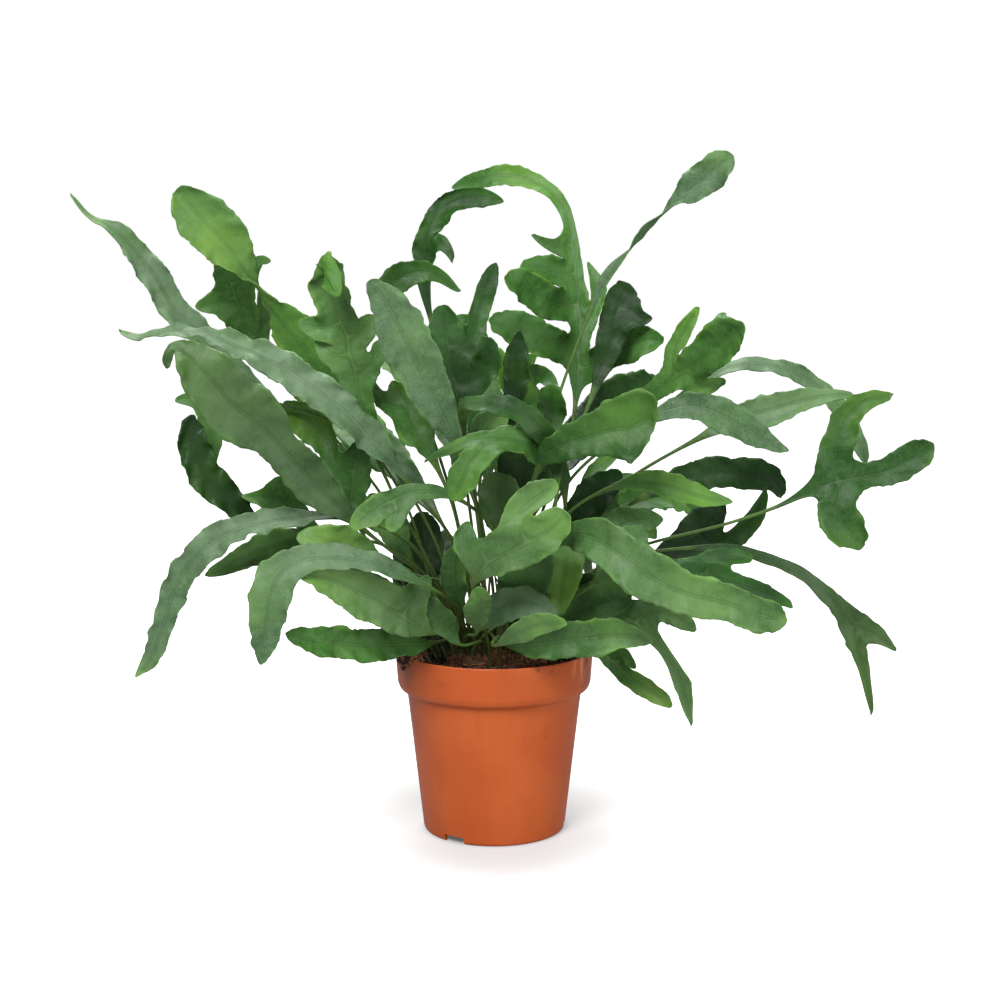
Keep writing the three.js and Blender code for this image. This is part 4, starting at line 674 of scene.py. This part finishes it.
# Brighter lime green: the fronds' own colour, and painted light on frond 7, which hangs turned from the
# light.
BRIGHT = leaf_pair(
    "leaf_lime_green", srgb(52, 100, 32), srgb(82, 120, 64), srgb(30, 74, 20), srgb(118, 156, 52),
    srgb(134, 164, 88), srgb(84, 130, 52),
)
# Darker mid green, partly painted shade (frond 16) and partly the fronds' own colour.
FRESH = leaf_pair(
    "leaf_mid_green", srgb(30, 72, 18), srgb(56, 96, 42), srgb(16, 48, 10), srgb(88, 132, 42),
    srgb(106, 136, 76), srgb(58, 94, 42),
)


def look_of(index):
    """Materials and material slot of a frond."""
    if index in GLAUCOUS:
        return (GREY if index in SAGE else GREY_DARK if index in DIM else BLUE), "frond_blue_green"
    if index in SHADED_FRONDS:
        return DARK, "frond_dark_green"
    return (BRIGHT if index in LIME else FRESH if index in MID else GREEN), "frond_green"


def take_place(ob, node):
    """Puts a piece on the body, in a node's place."""
    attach(ob, "root")
    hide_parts(node)


LEVELS = 3
for index in range(1, FROND_COUNT + 1):
    node = f"frond_{index:02d}"
    leaves = [fine_frond(*sheet, index, LEVELS) for sheet in sheets(*welded(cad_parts[node]))]
    mats, slot = look_of(index)
    take_place(mesh_piece(f"leaf_{index:02d}", leaves, mats), node)

# Inner fronds, whose stipes go on down into the rhizome. Those in front reach beyond a line, in metres.
INNER_NODE = "rhizome_with_inner_fronds"
INNER_FRONT = -0.047
INNER_DROP = 7.5 * MM
# The inner fronds at the back take the darker green as painted shade.
INNER_LOOKS = {"front": (GREY, "frond_blue_green"), "back": (DARK, "frond_dark_green")}
inner = {"front": [], "back": []}
for k, sheet in enumerate(sheets(*welded(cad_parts[INNER_NODE]))):
    leaf = fine_frond(*grown_down(*sheet, INNER_DROP), INNER_SEED + k, LEVELS)
    inner["front" if sheet[0][:, 1].min() < INNER_FRONT else "back"].append(leaf)
for place, leaves in inner.items():
    mats, slot = INNER_LOOKS[place]
    take_place(mesh_piece(f"inner_leaves_{place}", leaves, mats), INNER_NODE)


# Rhizome
def soil_height(x, y):
    return SOIL_EDGE + SOIL_HEAP * max(0.0, 1 - (x * x + y * y) / SOIL_REACH**2)


def spline(points, steps):
    """Catmull-Rom through the points."""
    pts = [np.array(q, float) for q in points]
    pts = [2 * pts[0] - pts[1], *pts, 2 * pts[-1] - pts[-2]]
    out = []
    for k in range(1, len(pts) - 2):
        for s in range(steps):
            t = s / steps
            a, b, c, d = pts[k - 1 : k + 3]
            bend = (2 * a - 5 * b + 4 * c - d) * t**2 + (3 * b - a - 3 * c + d) * t**3
            out.append(0.5 * (2 * b + (c - a) * t + bend))
    out.append(pts[-2])
    return np.array(out)


def tube(path, radii, sides, seed, lump):
    """Closed lumpy tube along a path."""
    count = len(path)
    along = np.gradient(path, axis=0)
    along /= np.linalg.norm(along, axis=1)[:, None]
    side = np.cross(along, [0, 0, 1])
    side /= np.linalg.norm(side, axis=1)[:, None]
    up = np.cross(side, along)
    verts, faces = [], []
    for i in range(count):
        for k in range(sides):
            a = 2 * math.pi * k / sides
            out = math.cos(a) * side[i] + math.sin(a) * up[i]
            q = path[i] + out * radii[i]
            bump = lump * noise.noise(Vector(q) * 0.45 + Vector((seed, 0, 0)))
            verts.append(q + out * bump)
    for i in range(count - 1):
        for k in range(sides):
            n = (k + 1) % sides
            faces.append([i * sides + k, i * sides + n, (i + 1) * sides + n, (i + 1) * sides + k])
    faces.append(list(range(sides))[::-1])
    faces.append([(count - 1) * sides + k for k in range(sides)])
    return np.array(verts) * MM, faces


ARM_RADIUS, ARM_SIDES, ARM_STEPS, ARM_LUMP = 3.7, 18, 16, 0.7
SCALES_PER_ARM = 1000


def unit(v):
    return v / np.linalg.norm(v)


def arm_path(arm):
    """Axis of one arm of the rhizome, half sunk in the soil, with a slight wave in height."""
    points = [(x, y, soil_height(x, y) + 0.6 + (i % 2) * 0.8) for i, (x, y) in enumerate(arm)]
    return spline(points, ARM_STEPS)


def arm_radii(count):
    t = np.linspace(0, 1, count)
    swollen = ARM_RADIUS * (0.62 + 0.38 * np.sin(np.pi * (0.12 + 0.76 * t)))
    return swollen * np.clip(np.minimum(t, 1 - t) * 14, 0.35, 1)


def arm_scale(path, radii, forward, draw):
    """One thin pointed scale on the upper side of an arm, leaning towards its tip."""
    i = draw.integers(1, len(path) - 1)
    way = unit(path[i + 1] - path[i - 1])
    side = np.cross(way, [0, 0, 1])
    a = draw.uniform(-0.2, math.pi + 0.2)
    out = math.cos(a) * side + math.sin(a) * np.cross(side, way)
    foot = path[i] + out * radii[i] * 0.9
    lean = unit(out + way * draw.uniform(0.4, 1.2) * forward + draw.normal(0, 0.25, 3))
    wide = np.cross(lean, out)
    wide = wide / max(1e-6, np.linalg.norm(wide)) * draw.uniform(0.3, 0.75)
    tip = foot + lean * draw.uniform(1.8, 4.6)
    verts = np.array([foot - wide, foot + wide, foot + out * 0.15, tip]) * MM
    return verts, [[0, 1, 3], [1, 2, 3], [2, 0, 3], [0, 2, 1]]


def part_of(shape, slot=0):
    """A part for mesh_piece from (points, faces), in one material."""
    verts, faces = shape
    return verts, faces, [slot] * len(faces), {}


rng = np.random.default_rng(5)
arms, scales = [], []
for k, arm in enumerate(RHIZOME_ARMS):
    path = arm_path(arm)
    radii = arm_radii(len(path))
    arms.append(part_of(tube(path, radii, ARM_SIDES, k * 9.0, ARM_LUMP)))
    forward = 1 if k == 0 else -1
    scales += [part_of(arm_scale(path, radii, forward, rng), 1) for _ in range(SCALES_PER_ARM)]
core = bark_material("rhizome_core", srgb(34, 22, 14), srgb(78, 52, 30), 260.0)
chaff = bark_material("rhizome_scales", srgb(64, 38, 20), srgb(158, 104, 58), 420.0)
take_place(mesh_piece("rhizome_scaly", arms + scales, [core, chaff]), INNER_NODE)


# Stubs of shed fronds, which stand between the stipes: how many are tried, how far a stub keeps from a
# solid, and the furthest that one stands from the axis, in millimetres
STUB_TRIES = 420
STUB_GAP = 2.3
STUB_REACH = 46
STUB_STEPS, STUB_SIDES, STUB_LUMP = 8, 6, 0.1
STUB_FOOT, STUB_TIP = 1.2, 0.75

# Height from which a stub has to keep clear, in metres
ABOVE_SOIL = 0.109


def frond_tree():
    """Search tree over the solids of the fronds, above the soil."""
    verts, faces = [], []
    for name in [f"frond_{index:02d}" for index in range(1, FROND_COUNT + 1)] + [INNER_NODE]:
        points, tris = welded(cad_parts[name])
        high = points[tris][:, :, 2].max(axis=1) > ABOVE_SOIL
        faces += (tris[high] + len(verts)).tolist()
        verts += points.tolist()
    return BVHTree.FromPolygons(verts, faces)


def stub_path(draw):
    """Distance from the axis and the centre line of one stub, from under the soil to its blunt tip."""
    x, y = draw.uniform(-40, 40), draw.uniform(-20, 42)
    reach = math.hypot(x, y)
    lean = np.array([x, y, 0]) / max(reach, 1.0) * (0.12 + 0.008 * reach)
    lean += np.append(draw.normal(0, 0.07, 2), 0)
    bend = np.append(draw.normal(0, 0.12, 2), 0)
    high = draw.uniform(14, 52)
    foot = np.array([x, y, soil_height(x, y) - 1.5])
    steps = np.linspace(0, 1, STUB_STEPS)
    return reach, [foot + np.array([0, 0, high]) * t + high * (lean * t + bend * t * t) for t in steps]


near = frond_tree()
stub_draw = np.random.default_rng(41)
stubs = []
for _ in range(STUB_TRIES):
    reach, path = stub_path(stub_draw)
    radii = np.linspace(STUB_FOOT, STUB_TIP, STUB_STEPS) * stub_draw.uniform(0.6, 1.05)
    clear = min(near.find_nearest(Vector(q * MM))[3] for q in path[2:])
    if reach <= STUB_REACH and clear >= STUB_GAP * MM:
        stubs.append(part_of(tube(np.array(path), radii, STUB_SIDES, reach, STUB_LUMP)))
skin = bark_material("stub_skin", srgb(26, 38, 16), srgb(70, 84, 40), 300.0)
take_place(mesh_piece("stipe_stubs", stubs, [skin]), INNER_NODE)


# Pot
def lathe(profile, sides):
    """Closed surface of revolution from [radius, height] points that start and end on the axis."""
    verts, faces, rings = [], [], []
    for radius, z in profile:
        if radius == 0:
            rings.append([len(verts)])
            verts.append((0, 0, z))
        else:
            rings.append(list(range(len(verts), len(verts) + sides)))
            for k in range(sides):
                a = 2 * math.pi * k / sides
                verts.append((radius * math.cos(a), radius * math.sin(a), z))
    for low, high in zip(rings, rings[1:]):
        for k in range(sides):
            n = (k + 1) % sides
            if len(low) == 1:
                faces.append([low[0], high[n], high[k]])
            elif len(high) == 1:
                faces.append([low[k], low[n], high[0]])
            else:
                faces.append([low[k], low[n], high[n], high[k]])
    return np.array(verts, float), faces


def rounded(profile, radius, steps):
    """Profile with every corner rounded but its two ends."""
    out = [profile[0]]
    for a, b, c in zip(profile, profile[1:], profile[2:]):
        a, b, c = (np.array(q, float) for q in (a, b, c))
        ab, cb = a - b, c - b
        la, lc = np.linalg.norm(ab), np.linalg.norm(cb)
        r = min(radius, la * 0.45, lc * 0.45)
        start, end = b + ab / la * r, b + cb / lc * r
        for k in range(steps + 1):
            t = k / steps
            out.append(tuple((1 - t) ** 2 * start + 2 * t * (1 - t) * b + t * t * end))
    out.append(profile[-1])
    return out


# Radius and height of the pot's section, in millimetres: under the floor, the foot ring, the outer wall
# with its collar, the rim, and the inner wall down to the floor.
POT_PROFILE = [
    (0, 0), (14, 0), (14.8, 4), (40.4, 4), (40.4, 0), (41.4, 0), (42.6, 0.6), (43.2, 2),
    (51.6, 75), (53, 86.4), (55.2, 87.2), (57.4, 88.8), (58.6, 92),
    (60, 111.2), (59.4, 112), (58.4, 111.6), (57, 92), (51.4, 87), (50, 75),
    (41.8, 5.8), (0, 5.8),
]
POT_SIDES = 160
POT_CORNER = 0.9
NOTCHES = 3
NOTCH_TURN = -124
NOTCH_RADIUS = 41.7
NOTCH_SIZE = (10, 14, 8.8)
SHARP_EDGE = 38


def facing_out(ob):
    """Turns every face of a piece outwards."""
    bm = bmesh.new()
    bm.from_mesh(ob.data)
    bmesh.ops.recalc_face_normals(bm, faces=bm.faces[:])
    bm.to_mesh(ob.data)
    bm.free()


def cut_notch(ob, a):
    """Cuts one drain notch into the foot ring, at angle a."""
    place = (NOTCH_RADIUS * MM * math.cos(a), NOTCH_RADIUS * MM * math.sin(a), 0)
    bpy.ops.mesh.primitive_cube_add(size=1, location=place)
    cutter = bpy.context.object
    cutter.scale = [side * MM for side in NOTCH_SIZE]
    cutter.rotation_euler = (0, 0, a)
    mod = ob.modifiers.new("notch", "BOOLEAN")
    mod.operation, mod.solver, mod.object = "DIFFERENCE", "EXACT", cutter
    bpy.context.view_layer.update()
    deps = bpy.context.evaluated_depsgraph_get()
    cut = bpy.data.meshes.new_from_object(ob.evaluated_get(deps))
    ob.modifiers.remove(mod)
    ob.data = cut
    bpy.data.objects.remove(cutter)


verts, faces = lathe(rounded(POT_PROFILE, POT_CORNER, 3), POT_SIDES)
pot = mesh_piece("pot_moulded", [part_of((verts * MM, [face[::-1] for face in faces]))], [pot_material()])
facing_out(pot)
for k in range(NOTCHES):
    cut_notch(pot, math.radians(NOTCH_TURN + 360 / NOTCHES * k))
pot.data.set_sharp_from_angle(angle=math.radians(SHARP_EDGE))
take_place(pot, "pot")


# Soil
SOIL_RADIUS, SOIL_RINGS, SOIL_SIDES = 56.2, 56, 150
SOIL_UNDER = [(55.0, 92.6), (49.2, 87.2), (48.6, 75), (41, 6.2)]
FINE_RELIEF = ((1.1, 0.16), (0.9, 0.5), (0.5, 1.3))

# The pot's rim where soil lies on it: the clump's direction in degrees, and heights in millimetres
CLUMP_TURN = 204
CLUMP_TOP = 112.4
RIM_OUTSIDE = 60.2
RIM_EDGE = 111

# The heap along the back wall, between these directions in degrees
HEAP_FROM, HEAP_TO = 15, 235
HEAP_RADIUS, HEAP_DEPTH, HEAP_HIGH = 55.6, 11, 7.0

# Materials of the soil piece
PEAT, BARK, COIR = 0, 1, 2


def at(radius, turn, height):
    return radius * math.cos(turn), radius * math.sin(turn), height


def soil_top(x, y):
    """Height of the soil with its fine relief."""
    q = Vector((x, y, 0))
    return soil_height(x, y) + sum(high * noise.noise(q * scale) for high, scale in FINE_RELIEF)


def soil_surface():
    """Round soil body with a rough crumbly top."""
    verts, faces = [(0.0, 0.0, soil_top(0, 0))], []
    turns = [2 * math.pi * k / SOIL_SIDES for k in range(SOIL_SIDES)]
    for i in range(1, SOIL_RINGS + 1):
        for a in turns:
            x, y, _ = at(SOIL_RADIUS * i / SOIL_RINGS, a, 0)
            z = soil_top(x, y)
            verts.append((x, y, min(z, SOIL_EDGE) if i == SOIL_RINGS else z))
    for radius, z in SOIL_UNDER:
        verts += [at(radius, a, z) for a in turns]
    for k in range(SOIL_SIDES):
        faces.append([0, 1 + k, 1 + (k + 1) % SOIL_SIDES])
    rings = SOIL_RINGS + len(SOIL_UNDER)
    for i in range(1, rings):
        inside, outside = 1 + (i - 1) * SOIL_SIDES, 1 + i * SOIL_SIDES
        for k in range(SOIL_SIDES):
            n = (k + 1) % SOIL_SIDES
            faces.append([inside + k, outside + k, outside + n, inside + n])
    last = 1 + (rings - 1) * SOIL_SIDES
    faces.append([last + k for k in range(SOIL_SIDES)][::-1])
    return np.array(verts) * MM, faces


def crumb(centre, size, draw):
    """Small rough lump."""
    bm = bmesh.new()
    bmesh.ops.create_icosphere(bm, subdivisions=1, radius=1.0)
    shift = Vector(draw.uniform(0, 50, 3))
    squash = draw.uniform(0.6, 1.2, 3)
    verts = []
    for v in bm.verts:
        k = 1 + 0.5 * noise.noise(v.co * 1.3 + shift)
        verts.append([centre[j] + v.co[j] * size * squash[j] * k for j in range(3)])
    faces = [[v.index for v in f.verts] for f in bm.faces]
    bm.free()
    return np.array(verts) * MM, faces


def fibre(foot, length, draw):
    """Thin bent strand lying on the soil."""
    heading = draw.uniform(0, 2 * math.pi)
    turn = draw.uniform(-0.4, 0.4)
    path, q = [], np.array(foot, float)
    for k in range(6):
        path.append(q.copy())
        heading += turn
        q = q + np.array([math.cos(heading), math.sin(heading), 0.12 * math.sin(k)]) * length / 5
    return tube(np.array(path), [draw.uniform(0.12, 0.3)] * 6, 4, 0, 0)


def heaped_crumb(draw):
    """Crumb of the soil that lies against the wall at the back."""
    turn = draw.uniform(HEAP_FROM, HEAP_TO)
    share = (turn - HEAP_FROM) / (HEAP_TO - HEAP_FROM)
    heap = math.sqrt(math.sin(math.radians(1.2) + 0.98 * math.pi * share))
    depth = draw.uniform(0, 1) ** 1.5
    z = SOIL_EDGE + HEAP_HIGH * heap * (1 - depth) * draw.uniform(0.5, 1)
    size = draw.uniform(0.7, 1.6)
    shape = crumb(at(HEAP_RADIUS - HEAP_DEPTH * depth, math.radians(turn), z), size, draw)
    return part_of(shape, BARK if draw.integers(0, 4) == 3 else PEAT)


def clump_crumb(draw):
    """Crumb of the clump that lies over the rim."""
    turn = draw.normal(0, 7)
    radius = min(56.6 + draw.normal(0, 2.4), 61.2)
    top = CLUMP_TOP + 4.0 * math.exp(-((turn / 9) ** 2)) * math.exp(-(((radius - 56) / 3.5) ** 2))
    z = top - abs(draw.normal(0, 1.5)) if radius < RIM_OUTSIDE else RIM_EDGE - abs(draw.normal(0, 2.4))
    shape = crumb(at(radius, math.radians(CLUMP_TURN + turn), z), draw.uniform(0.6, 1.7), draw)
    return part_of(shape, COIR if draw.integers(0, 3) > 0 else PEAT)


def spilled_crumb(draw):
    """Crumb that hangs on the outside of the rim, below the clump."""
    low = abs(draw.normal(0, 3.2))
    turn = math.radians(CLUMP_TURN + 1 + draw.normal(0, 1 + 4.5 * math.exp(-low / 3)))
    shape = crumb(at(60.6 - 0.06 * low, turn, 111.6 - low), draw.uniform(0.5, 1.4), draw)
    return part_of(shape, COIR if draw.integers(0, 3) > 0 else PEAT)


def clump_fibre(draw):
    turn = math.radians(CLUMP_TURN + draw.normal(0, 7))
    radius = 55.5 + draw.normal(0, 2)
    return part_of(fibre(at(radius, turn, 113.2 + draw.uniform(0, 2.4)), draw.uniform(4, 9), draw), COIR)


def anywhere(reach, draw):
    """Place on the soil, even over its surface out to the reach."""
    radius, turn = reach * math.sqrt(draw.uniform(0, 1)), draw.uniform(0, 2 * math.pi)
    x, y, _ = at(radius, turn, 0)
    return x, y, soil_height(x, y)


def loose_crumb(draw):
    x, y, z = anywhere(55, draw)
    size = draw.uniform(0.35, 1.5) ** 1.2
    return part_of(crumb((x, y, z + 0.3 * size), size, draw), BARK if draw.integers(0, 3) == 2 else PEAT)


def loose_fibre(draw):
    x, y, z = anywhere(43, draw)
    return part_of(fibre((x, y, z + draw.uniform(0.6, 1.6)), draw.uniform(4, 12), draw), BARK)


HEAPED_CRUMBS, LOOSE_CRUMBS = ((1100, 1500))
CLUMP_CRUMBS, SPILLED_CRUMBS = 420, 130
CLUMP_FIBRES, LOOSE_FIBRES = 36, 260

parts = [part_of(soil_surface())]
parts += [heaped_crumb(rng) for _ in range(HEAPED_CRUMBS)]
parts += [clump_crumb(rng) for _ in range(CLUMP_CRUMBS)]
parts += [spilled_crumb(rng) for _ in range(SPILLED_CRUMBS)]
parts += [clump_fibre(rng) for _ in range(CLUMP_FIBRES)]
parts += [loose_crumb(rng) for _ in range(LOOSE_CRUMBS)]
parts += [loose_fibre(rng) for _ in range(LOOSE_FIBRES)]
bark = bark_material("bark_bits", srgb(62, 36, 20), srgb(124, 78, 44), 600.0)
coir = bark_material("coir_bits", srgb(86, 50, 26), srgb(158, 104, 62), 600.0)
take_place(mesh_piece("soil_crumbly", parts, [soil_material(), bark, coir]), "soil")


# Stage, light and camera
bpy.ops.mesh.primitive_plane_add(size=12, location=(0, 0, 0))
floor = bpy.context.object
floor.name = "floor"
floor.data.materials.append(floor_material())


def area_light(name, place, target, size, power):
    data = bpy.data.lights.new(name, "AREA")
    data.shape, data.size, data.energy = "DISK", size, power
    ob = bpy.data.objects.new(name, data)
    ob.location = place
    ob.rotation_euler = (Vector(target) - Vector(place)).to_track_quat("-Z", "Y").to_euler()
    bpy.context.scene.collection.objects.link(ob)


# Place and aim of each light in metres, its width and its power
area_light("key", (-0.6, -1.6, 1.6), (0, 0, 0.2), 1.0, 56)
area_light("fill", (1.4, -1.5, 0.6), (0, 0, 0.12), 1.0, 21)
area_light("top", (-0.2, 0.5, 1.7), (0, 0, 0.25), 0.9, 30)
area_light("back", (0.4, 1.7, 0.9), (0, 0, 0.2), 1.0, 9)


def studio_world(dim, bright):
    """White surroundings: bright where they are seen, dim as light on the plant."""
    world = bpy.data.worlds.new("studio")
    world.use_nodes = True
    tree = world.node_tree
    sky = tree.nodes["Background"]
    sky.inputs["Color"].default_value = (1, 1, 1, 1)
    rays = tree.nodes.new("ShaderNodeLightPath")
    level = tree.nodes.new("ShaderNodeMapRange")
    level.inputs["To Min"].default_value = dim
    level.inputs["To Max"].default_value = bright
    tree.links.new(rays.outputs["Is Camera Ray"], level.inputs["Value"])
    tree.links.new(level.outputs[0], sky.inputs["Strength"])
    return world


bpy.context.scene.world = studio_world(dim=0.1, bright=1.0)

# The photo's viewpoint: in front of the plant, a little above its middle, looking slightly down
CAMERA_PLACE = (3.5, -1100, 358)
CAMERA_DOWN = 0.141
CAMERA_SENSOR, CAMERA_LENS = 36, 66.6
lens = bpy.data.cameras.new("camera")
lens.sensor_width = CAMERA_SENSOR
lens.lens = CAMERA_LENS
camera = bpy.data.objects.new("camera", lens)
bpy.context.scene.collection.objects.link(camera)
camera.location = [side * MM for side in CAMERA_PLACE]
camera.rotation_euler = (math.pi / 2 - CAMERA_DOWN, 0, 0)
bpy.context.scene.camera = camera
bpy.context.scene.view_settings.view_transform = "Standard"
